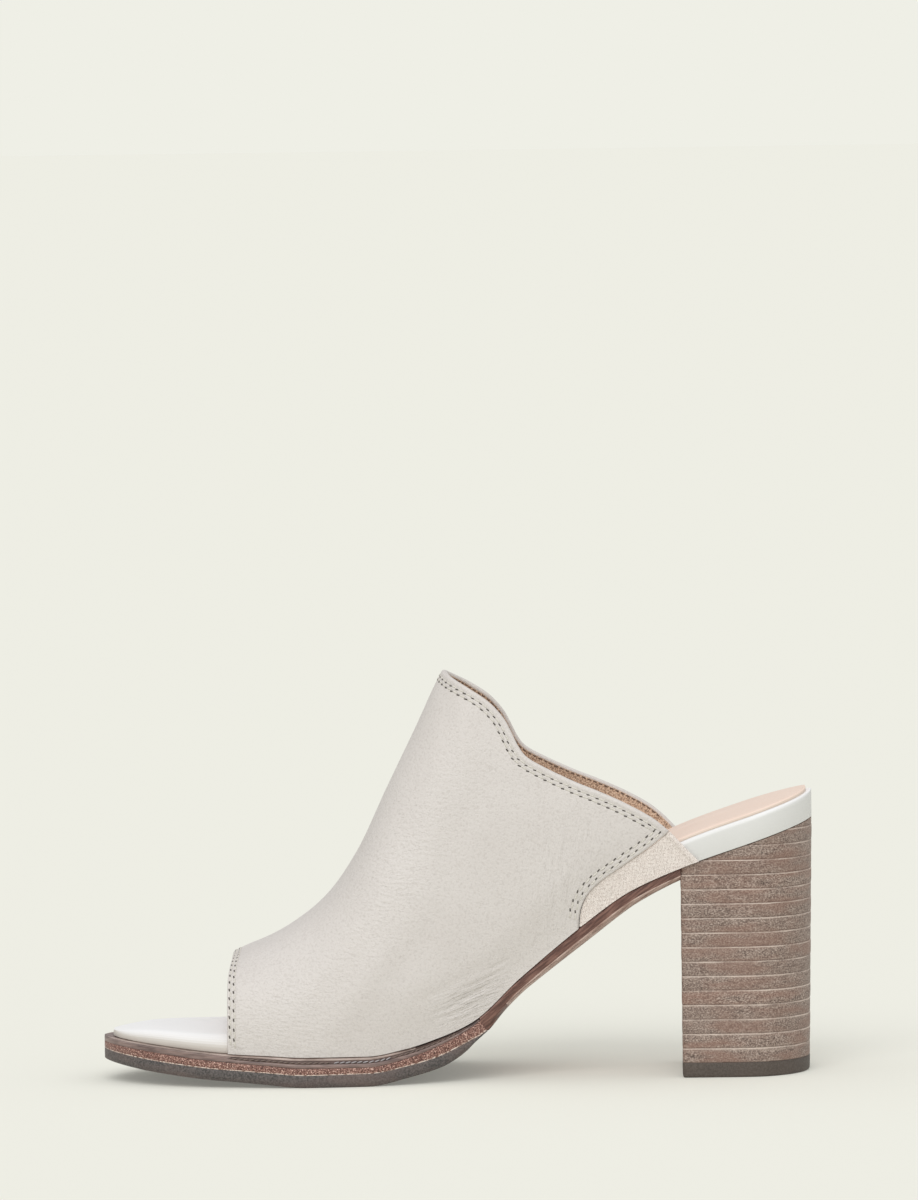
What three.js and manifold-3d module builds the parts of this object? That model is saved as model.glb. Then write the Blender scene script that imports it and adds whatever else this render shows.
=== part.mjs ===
// An open-toe leather mule on a stacked block heel: the right shoe of a pair, EU size 38.
// Millimetres, +Z up, on the ground at z = 0. The toe points to -X and the medial side faces -Y.
import * as THREE from 'three';
import Module from 'manifold-3d';
import { mergeVertices } from 'three/addons/utils/BufferGeometryUtils.js';

const wasm = await Module();
wasm.setup();

// Driving sizes of the shoe
const TOE_TIP = -116.5;
const HEEL_BACK = 116.5;
const GAP = 0.3; // curved pieces meet this far apart
const WALL = 2.0; // vamp leather with its lining
const GORE_RECESS = 0.9; // the elastic lies this far under the leather's face
const SEAM_INSET = WALL + GAP; // from the upper's face to the side of the footbed
const TOP_PIECE = 4.9; // rubber piece under the heel
const LIFT = 4.74; // one leather lift of the heel
const LIFT_COUNT = 17;
const SOCK_THICKNESS = 1.2;
const SOCK_GAP = 0.4; // between the sock and the footbed's curved top
const SOCK_INSET = 1.6; // white rim left around the sock
const SOCK_FRONT = 6; // where the heel sock ends under the vamp
const BEVEL_WIDTH = 6; // the waist's sole edge is bevelled under by this much

// The last from below. The foot line is the upper's face where it meets the sole: its half widths to
// the medial and the lateral side. sole is the height of the sole's top. bulge is the share by which
// the wall swells out above the foot line on each side.
const LAST = [
  { x: -116, sole: 14.6, medial: 28.0, lateral: 29.0, medialBulge: 0.02, lateralBulge: 0.02 },
  { x: -98, sole: 12.7, medial: 31.5, lateral: 32.5, medialBulge: 0.02, lateralBulge: 0.02 },
  { x: -78, sole: 10.8, medial: 35.4, lateral: 36.0, medialBulge: 0.02, lateralBulge: 0.02 },
  { x: -62, sole: 10.0, medial: 38.0, lateral: 38.4, medialBulge: 0.02, lateralBulge: 0.03 },
  { x: -50, sole: 9.4, medial: 39.1, lateral: 39.0, medialBulge: 0.02, lateralBulge: 0.03 },
  { x: -30, sole: 9.4, medial: 37.8, lateral: 39.2, medialBulge: 0.04, lateralBulge: 0.04 },
  { x: -18, sole: 11.3, medial: 35.2, lateral: 38.4, medialBulge: 0.05, lateralBulge: 0.04 },
  { x: -9, sole: 13.8, medial: 32.8, lateral: 37.2, medialBulge: 0.07, lateralBulge: 0.04 },
  { x: 4, sole: 19.1, medial: 29.4, lateral: 34.9, medialBulge: 0.09, lateralBulge: 0.04 },
  { x: 20, sole: 33.2, medial: 27.0, lateral: 32.4, medialBulge: 0.10, lateralBulge: 0.03 },
  { x: 40, sole: 49.6, medial: 26.7, lateral: 30.9, medialBulge: 0.08, lateralBulge: 0.02 },
  { x: 56, sole: 61.0, medial: 28.0, lateral: 30.2, medialBulge: 0.04, lateralBulge: 0.01 },
  { x: 73, sole: 68.6, medial: 29.4, lateral: 29.9, medialBulge: 0.01, lateralBulge: 0.01 },
  { x: 94, sole: 75.8, medial: 29.8, lateral: 29.8, medialBulge: 0, lateralBulge: 0 },
  { x: 116, sole: 83.0, medial: 28.6, lateral: 28.6, medialBulge: 0, lateralBulge: 0 },
];

// The last's ridge, seen from the side, and the roundness of its section there: 2 is an ellipse, more
// is squarer. Past the collar's tip the ridge is the foot's own, above the cut edge.
const RIDGE = [
  { x: -78, top: 39.4, side: -1, roundness: 2.55 },
  { x: -72, top: 42.3, side: -1, roundness: 2.5 },
  { x: -61, top: 46.5, side: -2, roundness: 2.4 },
  { x: -50, top: 53.4, side: -3, roundness: 2.3 },
  { x: -42, top: 60.6, side: -3, roundness: 2.25 },
  { x: -32.6, top: 74.2, side: -3, roundness: 2.15 },
  { x: -23, top: 94.0, side: -2, roundness: 2.05 },
  { x: -13.4, top: 113.4, side: -1, roundness: 2.0 },
  { x: -4.3, top: 132.0, side: 0, roundness: 2.0 },
  { x: 5, top: 145.0, side: 0, roundness: 2.0 },
  { x: 18, top: 148.0, side: 0, roundness: 2.0 },
  { x: 40, top: 152.0, side: 0, roundness: 2.1 },
  { x: 60, top: 165.0, side: 0, roundness: 2.2 },
  { x: 86, top: 185.0, side: 0, roundness: 2.3 },
];

// How deep each layer of the sole ends, measured square to the sole's top.
const SOLE_LAYERS = [
  { x: -116.5, weltEnd: 1.6, leatherEnd: 3.9, rubberEnd: 7.4, ledge: 2.8 },
  { x: -98, weltEnd: 1.8, leatherEnd: 4.5, rubberEnd: 8.3, ledge: 2.8 },
  { x: -75, weltEnd: 2.2, leatherEnd: 4.7, rubberEnd: 8.5, ledge: 2.8 },
  { x: -50, weltEnd: 3.0, leatherEnd: 5.3, rubberEnd: 9.4, ledge: 2.8 },
  { x: -30, weltEnd: 3.0, leatherEnd: 5.1, rubberEnd: 9.4, ledge: 2.6 },
  { x: -18, weltEnd: 2.6, leatherEnd: 5.1, rubberEnd: 9.0, ledge: 2.2 },
  { x: -9, weltEnd: 2.1, leatherEnd: 5.3, rubberEnd: 9.1, ledge: 1.7 },
  { x: -2, weltEnd: 1.5, leatherEnd: 4.8, rubberEnd: 7.8, ledge: 1.1 },
  { x: 4, weltEnd: 0.9, leatherEnd: 3.2, rubberEnd: 5.5, ledge: 0.6 },
  { x: 14, weltEnd: 0.3, leatherEnd: 2.8, rubberEnd: 4.2, ledge: 0 },
  { x: 40, weltEnd: 0, leatherEnd: 3.3, rubberEnd: 5.2, ledge: -0.9 },
  { x: 60, weltEnd: 0, leatherEnd: 2.9, rubberEnd: 4.8, ledge: -1.6 },
  { x: 74, weltEnd: 0, leatherEnd: 2.4, rubberEnd: 4.1, ledge: -2.2 },
];
const WELT_STOP = 6.2; // the welt and the rubber die out here, at the waist
const RUBBER_SCARF_START = -2; // from here the rubber's top runs down to its own bottom
const RIM_MIN = 0.35; // thinnest edge that any layer keeps

// The footbed: how thick it is, and how far its top is crowned.
const FOOTBED = [
  { x: -114, thickness: 1.7, crown: 0.3 },
  { x: -107, thickness: 2.9, crown: 0.6 },
  { x: -101, thickness: 3.8, crown: 0.8 },
  { x: -88, thickness: 4.7, crown: 1.0 },
  { x: -75, thickness: 5.3, crown: 1.2 },
  { x: -26, thickness: 5.4, crown: 1.0 },
  { x: 20, thickness: 6.2, crown: 0.6 },
  { x: 60, thickness: 7.8, crown: 0.9 },
  { x: 90, thickness: 8.4, crown: 1.2 },
  { x: 116.5, thickness: 8.3, crown: 0.6 },
];
const FOOTBED_TOE = -113.6;
const FOOTBED_EDGE_ROUND = 1.5;

// The layers stand square to the sole's top, and upright at the heel.
const UPRIGHT = [{ x: 45, share: 0 }, { x: 73, share: 1 }];

// The outline's round ends: how long each is, and its squareness.
const TOE_ROUND = { length: 40, squareness: 2.0, tipShift: -4 };
const HEEL_ROUND = { length: 22, squareness: 2.1 };

// The heel block: its breast is a little slanted across the shoe, where the sole is cut against it,
// and the block narrows a little to the ground.
const BREAST = { medial: 72.65, lateral: 74 };
const BREAST_GAP = 0.4; // between the end of the sole and the breast
const HEEL_LEAN = 1.5; // the back leans forward by this much down to the ground
const HEEL_NARROWING = 1.2;
const BREAST_CORNER = 1.2;

// The collar's edge seen from the side, from the tip of the vamp to the tip of its rear corner.
const COLLAR = [
  [-5.5, 136], [-2.8, 132.2], [5.4, 127.5], [11.3, 123.4], [15.7, 118.5], [18.3, 113.7],
  [20.4, 109.3], [23.2, 105.7], [29, 102.3], [38.5, 97.7], [46.9, 94.2], [55.2, 90.4], [63.6, 85.7],
  [69, 81.3],
];
const COLLAR_TILT = 0.008; // the lateral side of the collar stands this much higher per mm across
const REAR_EDGE_FOOT = [81, 68.8];
// The leather's lower rear edge on the medial side, from the rear corner down to the sole. The gore
// lies behind it.
const GORE_EDGE = [
  [68.2, 80.1], [61.5, 74.9], [53.2, 69.2], [46.6, 64.6], [42.6, 60.6], [40.5, 56.8], [39.6, 52.8],
  [39.2, 47.6],
];

const THROAT_FRONT = -75.6; // the toe opening's edge, at the sides
const THROAT_DIP = 1.7; // how far back its middle lies
const THROAT_BLEND = 16;

const COLOURS = {
  leather: 0xdcd7d0, lining: 0xb08a68, elastic: 0xddd6cc, sock: 0xe9cdb8, welt: 0x6e5c55,
  soleLeather: 0x8a5244, rubber: 0x4a4745, lift: 0x8b766a, topPiece: 0x5d524c,
};

const clamp01 = (t) => Math.min(1, Math.max(0, t));
const smooth = (t) => clamp01(t) ** 2 * (3 - 2 * clamp01(t));
const mix = (a, b, t) => a + (b - a) * t;

// A monotone cubic through one column of a table, so that level rows give a level stretch.
function column(rows, name) {
  const xs = rows.map((row) => row.x);
  const ys = rows.map((row) => row[name]);
  const slopes = xs.slice(1).map((x, i) => (ys[i + 1] - ys[i]) / (x - xs[i]));
  const tangents = xs.map((x, i) => {
    if (i === 0) return slopes[0];
    if (i === xs.length - 1) return slopes[i - 1];
    const [before, after] = [slopes[i - 1], slopes[i]];
    if (before * after <= 0) return 0;
    return (2 * before * after) / (before + after);
  });
  return (x) => {
    if (x <= xs[0]) return ys[0];
    if (x >= xs[xs.length - 1]) return ys[ys.length - 1];
    const i = xs.findIndex((next) => next > x) - 1;
    const span = xs[i + 1] - xs[i];
    const t = (x - xs[i]) / span;
    const rise = (2 * t - 3) * t * t;
    return ys[i] * (1 + rise) - ys[i + 1] * rise
      + span * (tangents[i] * t * (1 - t) ** 2 + tangents[i + 1] * t * t * (t - 1));
  };
}

const last = Object.fromEntries(Object.keys(LAST[0]).slice(1).map((name) => [name, column(LAST, name)]));
const ridge = Object.fromEntries(Object.keys(RIDGE[0]).slice(1).map((name) => [name, column(RIDGE, name)]));
const layer = Object.fromEntries(
  Object.keys(SOLE_LAYERS[0]).slice(1).map((name) => [name, column(SOLE_LAYERS, name)]),
);
const footbed = Object.fromEntries(
  Object.keys(FOOTBED[0]).slice(1).map((name) => [name, column(FOOTBED, name)]),
);
const uprightShare = column(UPRIGHT, 'share');

// The unit direction in which the layers are stacked at x, as [x, z].
function stackDirection(x) {
  const step = 0.5;
  const slope = (last.sole(x + step) - last.sole(x - step)) / (2 * step);
  const square = [-slope / Math.hypot(1, slope), 1 / Math.hypot(1, slope)];
  const share = smooth(uprightShare(x));
  const blended = [mix(square[0], 0, share), mix(square[1], 1, share)];
  const length = Math.hypot(...blended);
  return [blended[0] / length, blended[1] / length];
}

// A point at a height above the sole's top, at x along it: [x, z]. A depth is a negative height.
function stacked(x, height) {
  const [dx, dz] = stackDirection(x);
  return [x + dx * height, last.sole(x) + dz * height];
}

// How far x has come from the end of the toe's round to its tip, from 0 to 1.
function toeShare(x, ends) {
  return clamp01((ends.toe + TOE_ROUND.length - x) / TOE_ROUND.length);
}

// How far to the side an outline reaches at x. side is -1 for medial, and ends are the x of its tips.
function outline(x, side, offset, ends) {
  const width = (side < 0 ? last.medial(x) : last.lateral(x)) + offset;
  const toe = toeShare(x, ends);
  const heel = clamp01((x - ends.heel + HEEL_ROUND.length) / HEEL_ROUND.length);
  const toeWidth = (1 - toe ** TOE_ROUND.squareness) ** (1 / TOE_ROUND.squareness);
  const heelWidth = (1 - heel ** HEEL_ROUND.squareness) ** (1 / HEEL_ROUND.squareness);
  return side * width * toeWidth * heelWidth + TOE_ROUND.tipShift * toe * toe;
}

// Stations along the shoe, close together round the toe and, where asked, round the heel.
function stations(start, stop, pitch, roundToe, roundHeel) {
  const toeTurns = 11;
  const heelTurns = 7;
  const list = [];
  const from = roundToe ? start + TOE_ROUND.length : start;
  const to = roundHeel ? stop - HEEL_ROUND.length : stop;
  if (roundToe) {
    for (let i = 0; i < toeTurns; i += 1) {
      const turn = mix(0.05, 1, (i / toeTurns) ** 1.2) * Math.PI / 2;
      list.push(start + TOE_ROUND.length * (1 - Math.cos(turn)));
    }
  }
  const steps = Math.ceil((to - from) / pitch);
  for (let i = 0; i <= steps; i += 1) list.push(mix(from, to, i / steps));
  if (roundHeel) {
    for (let i = 1; i <= heelTurns; i += 1) {
      const turn = mix(0, 0.91, i / heelTurns) * Math.PI / 2;
      list.push(to + HEEL_ROUND.length * Math.sin(turn));
    }
  }
  return list;
}

function geometryFrom(points, triangles) {
  const geometry = new THREE.BufferGeometry();
  geometry.setAttribute('position', new THREE.Float32BufferAttribute(points.flat(), 3));
  geometry.setIndex(triangles.flat());
  return geometry;
}

// A closed skin over rings of equal length, with flat ends. Each ring is a convex loop.
function loft(rings) {
  const size = rings[0].length;
  const triangles = [];
  for (let r = 0; r + 1 < rings.length; r += 1) {
    for (let i = 0; i < size; i += 1) {
      const a = r * size + i;
      const b = r * size + (i + 1) % size;
      triangles.push([a, b + size, b], [a, a + size, b + size]);
    }
  }
  const end = (rings.length - 1) * size;
  for (let i = 1; i + 1 < size; i += 1) {
    triangles.push([0, i, i + 1], [end, end + i + 1, end + i]);
  }
  return geometryFrom(rings.flat(), triangles);
}

function solidOf(geometry) {
  const bare = geometry.clone();
  bare.deleteAttribute('normal');
  bare.deleteAttribute('uv');
  const merged = mergeVertices(bare, 1e-4);
  return new wasm.Manifold(new wasm.Mesh({
    numProp: 3,
    vertProperties: new Float32Array(merged.attributes.position.array),
    triVerts: new Uint32Array(merged.index.array),
  }));
}

function geometryOf(solid) {
  const mesh = solid.getMesh();
  const geometry = new THREE.BufferGeometry();
  geometry.setAttribute('position', new THREE.BufferAttribute(mesh.vertProperties, 3));
  geometry.setIndex(new THREE.BufferAttribute(mesh.triVerts, 1));
  return geometry;
}

// A layer of the sole, from a list of stations. edge(x) lists its cross-section's right half as
// [share of the half width, inset, height], from the top's middle down to the bottom's middle.
function layerSolid(xs, offset, ends, edge) {
  const ringAt = (x) => {
    const half = edge(x);
    const point = (side, [share, inset, height]) => {
      const [px, pz] = stacked(x, height);
      const inside = Math.min(Math.max(px, ends.toe + 0.05), ends.heel - 0.05);
      const reach = outline(inside, side, offset(px), ends);
      const middle = TOE_ROUND.tipShift * toeShare(px, ends) ** 2;
      const width = Math.max(share * Math.abs(reach - middle) - inset, RIM_MIN * Math.min(1, share));
      return [px, middle + side * width, pz];
    };
    return [
      ...half.map((row) => point(1, row)),
      ...half.slice().reverse().map((row) => point(-1, row)),
    ];
  };
  return loft(xs.map(ringAt));
}

// One list of stations serves all the layers of the sole, so that they stay a gap apart.
const SOLE_STATIONS = [
  ...stations(TOE_TIP, WELT_STOP, 6, true, false),
  ...stations(WELT_STOP + 1, BREAST.lateral + 1, 5.5, false, false),
];
const WELT_STATIONS = SOLE_STATIONS.filter((x) => x <= WELT_STOP);

const SOLE_ENDS = { toe: TOE_TIP, heel: HEEL_BACK + HEEL_ROUND.length };
const FOOTBED_ENDS = { toe: FOOTBED_TOE, heel: HEEL_BACK };

function weltSolid() {
  return layerSolid(WELT_STATIONS, (x) => layer.ledge(x), SOLE_ENDS, (x) => {
    const bottom = -Math.max(layer.weltEnd(x), RIM_MIN);
    const round = Math.min(0.8, -bottom / 3);
    return [[1, round, 0], [1, 0, -round], [1, 0, bottom + round / 2], [1, round / 2, bottom]];
  });
}

// The leather sole's top lies under the welt, and rises to the sole's own top behind it.
function leatherTop(x) {
  return x > WELT_STOP ? 0 : -(Math.max(layer.weltEnd(x), RIM_MIN) + GAP);
}

function rubberTop(x) {
  const scarf = smooth((x - RUBBER_SCARF_START) / (WELT_STOP - RUBBER_SCARF_START));
  return -mix(layer.leatherEnd(x) + GAP, layer.rubberEnd(x) - RIM_MIN, scarf);
}

function leatherSoleSolid() {
  const whole = layerSolid(SOLE_STATIONS, (x) => layer.ledge(x), SOLE_ENDS, (x) => {
    const waist = x > WELT_STOP ? 1 : 0;
    const underRubber = rubberTop(x) + GAP;
    const bottom = mix(underRubber, -layer.rubberEnd(x), waist);
    const edgeEnd = mix(underRubber + 0.1, -layer.leatherEnd(x), waist);
    return [[1, 0, leatherTop(x)], [1, 0, edgeEnd], [1, mix(0.1, BEVEL_WIDTH, waist), bottom]];
  });
  const across = last.lateral(BREAST.lateral) + last.medial(BREAST.medial);
  const slant = (BREAST.lateral - BREAST.medial) / across;
  const middle = (BREAST.lateral + BREAST.medial) / 2 - BREAST_GAP;
  return geometryOf(solidOf(whole).trimByPlane([-1, slant, 0], -middle / Math.hypot(1, slant)));
}

function rubberSoleSolid() {
  return layerSolid(WELT_STATIONS, (x) => layer.ledge(x), SOLE_ENDS, (x) => {
    const [top, bottom] = [rubberTop(x), -layer.rubberEnd(x)];
    const round = Math.min(0.9, (top - bottom) / 3);
    return [[1, 0, top], [1, 0, bottom + round], [1, round, bottom]];
  });
}

function footbedHeight(x, share) {
  return GAP + footbed.thickness(x) + footbed.crown(x) * (1 - share * share);
}

function footbedSolid() {
  const xs = stations(FOOTBED_TOE, HEEL_BACK, 8, true, true);
  const shares = [0, 0.45, 0.8];
  return layerSolid(xs, () => -SEAM_INSET, FOOTBED_ENDS, (x) => {
    const rim = GAP + footbed.thickness(x);
    return [
      ...shares.map((share) => [share, 0, footbedHeight(x, share)]),
      [1, FOOTBED_EDGE_ROUND, rim], [1, 0.4, rim - 0.5], [1, 0, rim - FOOTBED_EDGE_ROUND],
      [1, 0, GAP + 0.6], [1, 0.6, GAP],
    ];
  });
}

function sockSolid() {
  const xs = stations(SOCK_FRONT, HEEL_BACK - SOCK_INSET - 0.6, 8, false, true);
  const shares = [0, 0.5, 0.85];
  const ends = { toe: FOOTBED_TOE, heel: HEEL_BACK - SOCK_INSET };
  return layerSolid(xs, () => -SEAM_INSET - SOCK_INSET, ends, (x) => {
    const width = outline(x, 1, -SEAM_INSET - SOCK_INSET, ends);
    const narrower = width / outline(x, 1, -SEAM_INSET, FOOTBED_ENDS);
    const base = (share) => footbedHeight(x, share * narrower) + SOCK_GAP;
    const top = (share) => base(share) + SOCK_THICKNESS;
    return [
      ...shares.map((share) => [share, 0, top(share)]),
      [1, 0.7, top(1)], [1, 0, base(1) + 0.5], [1, 0.2, base(1)],
      ...shares.slice().reverse().map((share) => [share, 0, base(share)]),
    ];
  });
}

// The upper's face at x, for a turn from 0 at the medial foot line over the ridge to PI at the
// lateral one.
function upperFace(x, turn) {
  const side = Math.cos(turn);
  const up = Math.sin(turn);
  const base = last.sole(x) + GAP;
  const power = 2 / ridge.roundness(x);
  const rise = (ridge.top(x) - base) * Math.abs(up) ** power;
  const medial = side > 0;
  const width = medial ? last.medial(x) : last.lateral(x);
  const bulge = (medial ? last.medialBulge(x) : last.lateralBulge(x)) * smooth(rise / 22);
  const reach = width * (1 + bulge) * Math.abs(side) ** power;
  const dip = THROAT_DIP * up ** 8 * (1 - smooth((x - THROAT_FRONT) / THROAT_BLEND));
  return new THREE.Vector3(x + dip, (medial ? -reach : reach) + ridge.side(x) * up * up, base + rise);
}

// The upper's face moved in along its own normal.
function upperInside(x, turn, inset) {
  const step = 0.02;
  const reach = 0.4;
  const [low, high] = [Math.max(turn - step, 0.001), Math.min(turn + step, Math.PI - 0.001)];
  const across = upperFace(x, high).sub(upperFace(x, low));
  const along = upperFace(x + reach, turn).sub(upperFace(x - reach, turn));
  const inward = across.cross(along).normalize();
  return upperFace(x, turn).addScaledVector(inward, inset);
}

// The wall between two insets of the upper's face, as one closed skin from the toe opening back.
function wallSolid(outerInset, innerInset) {
  const back = 84;
  const turns = 34;
  const xs = [];
  for (let i = 0; i <= 30; i += 1) xs.push(mix(THROAT_FRONT, back, i / 30));
  const ring = (x) => {
    const row = (inset) => Array.from({ length: turns + 1 }, (_, i) => {
      const turn = (i / turns) * Math.PI;
      return (inset > 0 ? upperInside(x, turn, inset) : upperFace(x, turn)).toArray();
    });
    return [...row(outerInset), ...row(innerInset).reverse()];
  };
  const size = 2 * (turns + 1);
  const triangles = [];
  for (let r = 0; r + 1 < xs.length; r += 1) {
    for (let i = 0; i < size; i += 1) {
      const a = r * size + i;
      const b = r * size + (i + 1) % size;
      triangles.push([a, b + size, b], [a, a + size, b + size]);
    }
  }
  const end = (xs.length - 1) * size;
  for (let i = 0; i < turns; i += 1) {
    const [a, b, c, d] = [i, i + 1, size - 2 - i, size - 1 - i];
    triangles.push([a, b, c], [a, c, d], [end + a, end + c, end + b], [end + a, end + d, end + c]);
  }
  return solidOf(geometryFrom(xs.map(ring).flat(), triangles));
}

// A prism across the shoe whose outline is a list of [x, z]. It rises by tilt per mm across.
function sidePrism(points, fromY, toY, tilt = 0) {
  const shape = new THREE.Shape(points.map(([x, z]) => new THREE.Vector2(x, z)));
  const geometry = new THREE.ExtrudeGeometry(shape, { depth: toY - fromY, bevelEnabled: false });
  geometry.rotateX(Math.PI / 2);
  geometry.translate(0, toY, 0);
  geometry.applyMatrix4(new THREE.Matrix4().set(1, 0, 0, 0, 0, 1, 0, 0, 0, tilt, 1, 0, 0, 0, 0, 1));
  return solidOf(geometry);
}

function curvePoints(points, count) {
  const curve = new THREE.SplineCurve(points.map(([x, z]) => new THREE.Vector2(x, z)));
  return curve.getSpacedPoints(count).map((point) => [point.x, point.y]);
}

const rearCorner = COLLAR[COLLAR.length - 1];

// All that lies above the collar's edge and behind the rear edge.
function aboveCollar() {
  return sidePrism([
    ...curvePoints(COLLAR, 34), REAR_EDGE_FOOT, [84, 60], [100, 60], [100, 200], [-20, 200],
  ], -70, 70, COLLAR_TILT);
}

// The region of the gore, moved in by a gap from the leather's lower rear edge.
function goreOutline(gap) {
  const edge = curvePoints(GORE_EDGE, 16).map(([x, z]) => [x + gap * 0.8, z - gap * 0.6]);
  const foot = edge[edge.length - 1][0];
  return [...edge, [foot, 40], [70, 50], [92, 55], [92, 85], [rearCorner[0] + 2, 84 - gap]];
}

function upperSolid() {
  const shell = wallSolid(0, WALL).subtract(aboveCollar());
  return geometryOf(shell.subtract(sidePrism(goreOutline(0), -70, -5)));
}

function goreSolid() {
  const shell = wallSolid(GORE_RECESS, WALL).subtract(aboveCollar());
  return geometryOf(shell.intersect(sidePrism(goreOutline(GAP), -70, -5)));
}

// The heel block's outline at a height, as [x, y] going round from the medial breast corner.
function heelOutline(z) {
  const drop = 1 - z / last.sole(HEEL_BACK);
  const narrow = HEEL_NARROWING * drop;
  const lean = HEEL_LEAN * drop;
  const turns = 10;
  const half = (side) => {
    const breast = side < 0 ? BREAST.medial : BREAST.lateral;
    const width = Math.abs(outline(breast, side, -SEAM_INSET - narrow, FOOTBED_ENDS));
    const list = [[breast, side * (width - BREAST_CORNER)]];
    const from = breast + BREAST_CORNER;
    const round = HEEL_BACK - HEEL_ROUND.length;
    const xs = [from, mix(from, round, 0.5), round];
    for (let i = 1; i <= turns; i += 1) {
      xs.push(round + HEEL_ROUND.length * Math.sin((i / turns) * Math.PI / 2));
    }
    xs.forEach((x) => {
      const leaning = lean * clamp01((x - from) / (HEEL_BACK - from));
      list.push([x - leaning, outline(x, side, -SEAM_INSET - narrow, FOOTBED_ENDS)]);
    });
    return list;
  };
  const medial = half(-1);
  const lateral = half(1).slice(0, -1);
  return [...medial, ...lateral.reverse()];
}

function plate(points, bottom, top) {
  const shape = new THREE.Shape(points.map(([x, y]) => new THREE.Vector2(x, y)));
  const geometry = new THREE.ExtrudeGeometry(shape, { depth: top - bottom, bevelEnabled: false });
  geometry.translate(0, 0, bottom);
  return geometry;
}

function belowSeat() {
  const xs = Array.from({ length: 15 }, (_, i) => mix(60, 120, i / 14));
  const edge = xs.map((x) => [x, last.sole(x) + (x > HEEL_BACK ? 0.3 : 0)]);
  return sidePrism([[60, -5], [120, -5], ...edge.reverse()], -50, 50);
}

const seatCut = belowSeat();

function liftSolid(bottom, top) {
  const geometry = plate(heelOutline((bottom + top) / 2), bottom, top);
  if (top < last.sole(BREAST.medial) - 1) return geometry;
  return geometryOf(solidOf(geometry).intersect(seatCut));
}

function addPiece(group, name, geometry, color, roughness) {
  const material = new THREE.MeshStandardMaterial({ color, roughness, metalness: 0 });
  const mesh = new THREE.Mesh(geometry, material);
  mesh.name = name;
  group.add(mesh);
}

const shoe = new THREE.Group();
addPiece(shoe, 'upper', upperSolid(), COLOURS.leather, 0.55);
addPiece(shoe, 'gore', goreSolid(), COLOURS.elastic, 0.9);
addPiece(shoe, 'footbed', footbedSolid(), COLOURS.leather, 0.5);
addPiece(shoe, 'heel_sock', sockSolid(), COLOURS.sock, 0.6);
addPiece(shoe, 'welt', weltSolid(), COLOURS.welt, 0.5);
addPiece(shoe, 'leather_sole', leatherSoleSolid(), COLOURS.soleLeather, 0.6);
addPiece(shoe, 'rubber_forepart', rubberSoleSolid(), COLOURS.rubber, 0.8);
addPiece(shoe, 'heel_top_piece', plate(heelOutline(0), 0, TOP_PIECE), COLOURS.topPiece, 0.8);
for (let i = 0; i < LIFT_COUNT; i += 1) {
  const bottom = TOP_PIECE + i * LIFT;
  const name = `heel_lift_${String(i + 1).padStart(2, '0')}`;
  addPiece(shoe, name, liftSolid(bottom, bottom + LIFT), COLOURS.lift, 0.7);
}

export default shoe;
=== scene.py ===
"""Looks for an open-toe leather mule on a stacked block heel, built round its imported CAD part.

Sizes are in millimetres and turn into metres as each mesh is made. The toe points to -X, the medial
side faces -Y and the ground is z = 0.
"""

import math
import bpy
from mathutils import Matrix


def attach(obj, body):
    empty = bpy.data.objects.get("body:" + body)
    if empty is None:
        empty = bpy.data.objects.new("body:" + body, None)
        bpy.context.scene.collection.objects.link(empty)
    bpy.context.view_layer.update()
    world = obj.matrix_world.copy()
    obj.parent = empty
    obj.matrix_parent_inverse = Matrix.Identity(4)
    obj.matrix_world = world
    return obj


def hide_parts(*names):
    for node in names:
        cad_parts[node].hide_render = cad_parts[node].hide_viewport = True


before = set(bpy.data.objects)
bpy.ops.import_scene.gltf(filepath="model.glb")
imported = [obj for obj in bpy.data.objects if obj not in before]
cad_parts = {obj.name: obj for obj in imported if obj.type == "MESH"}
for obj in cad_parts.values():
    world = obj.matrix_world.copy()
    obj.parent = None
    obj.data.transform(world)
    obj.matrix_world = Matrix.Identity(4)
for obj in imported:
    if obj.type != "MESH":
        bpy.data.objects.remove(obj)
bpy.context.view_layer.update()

from types import SimpleNamespace

import bmesh
import bpy
import numpy as np
from mathutils import Matrix, Vector
from mathutils.kdtree import KDTree

# Sizes of the CAD part, repeated here because the fine pieces follow the same surfaces.
MM = 0.001
TOE_TIP = -116.5
HEEL_BACK = 116.5
GAP = 0.3
WALL = 2.0
GORE_RECESS = 0.9
SEAM_INSET = WALL + GAP
TOP_PIECE = 4.9
LIFT = 4.74
LIFT_COUNT = 17
SOCK_THICKNESS = 1.2
SOCK_INSET = 1.6
SOCK_FRONT = 6
BEVEL_WIDTH = 6
WELT_STOP = 6.2
RUBBER_SCARF_START = -2
RIM_MIN = 0.35
FOOTBED_TOE = -113.6
TOE_LENGTH = 40
TOE_TIP_SHIFT = -4
HEEL_LENGTH = 22
HEEL_SQUARENESS = 2.1
BREAST_MEDIAL = 72.65
BREAST_LATERAL = 74
HEEL_LEAN = 1.5
HEEL_NARROWING = 1.2
BREAST_CORNER = 1.2
COLLAR_TILT = 0.008
THROAT_FRONT = -75.6
THROAT_DIP = 1.7
THROAT_BLEND = 16
BULGE_RISE = 22
UPRIGHT_START = 45
UPRIGHT_BLEND = 28

# Sizes of the fine pieces alone: the sole all but touches the heel's breast, its bevel turns pale
# behind one station, and the leather is about so wide to each side at its rear corner.
BREAST_GAP = 0.04
BEVEL_PALE_START = 13
REAR_HALF_WIDTH = 30
HEEL_OUTLINE_TOP = 82
SOCK_LIFT = 0.12

# How finely curves are followed.
SPLINE_STEPS = 40
LINE_POINTS = 400
TOE_STATIONS = 36
TOE_FIRST_TURN = 0.035
HEEL_STATIONS = 28
HEEL_LAST_TURN = 0.97

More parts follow.
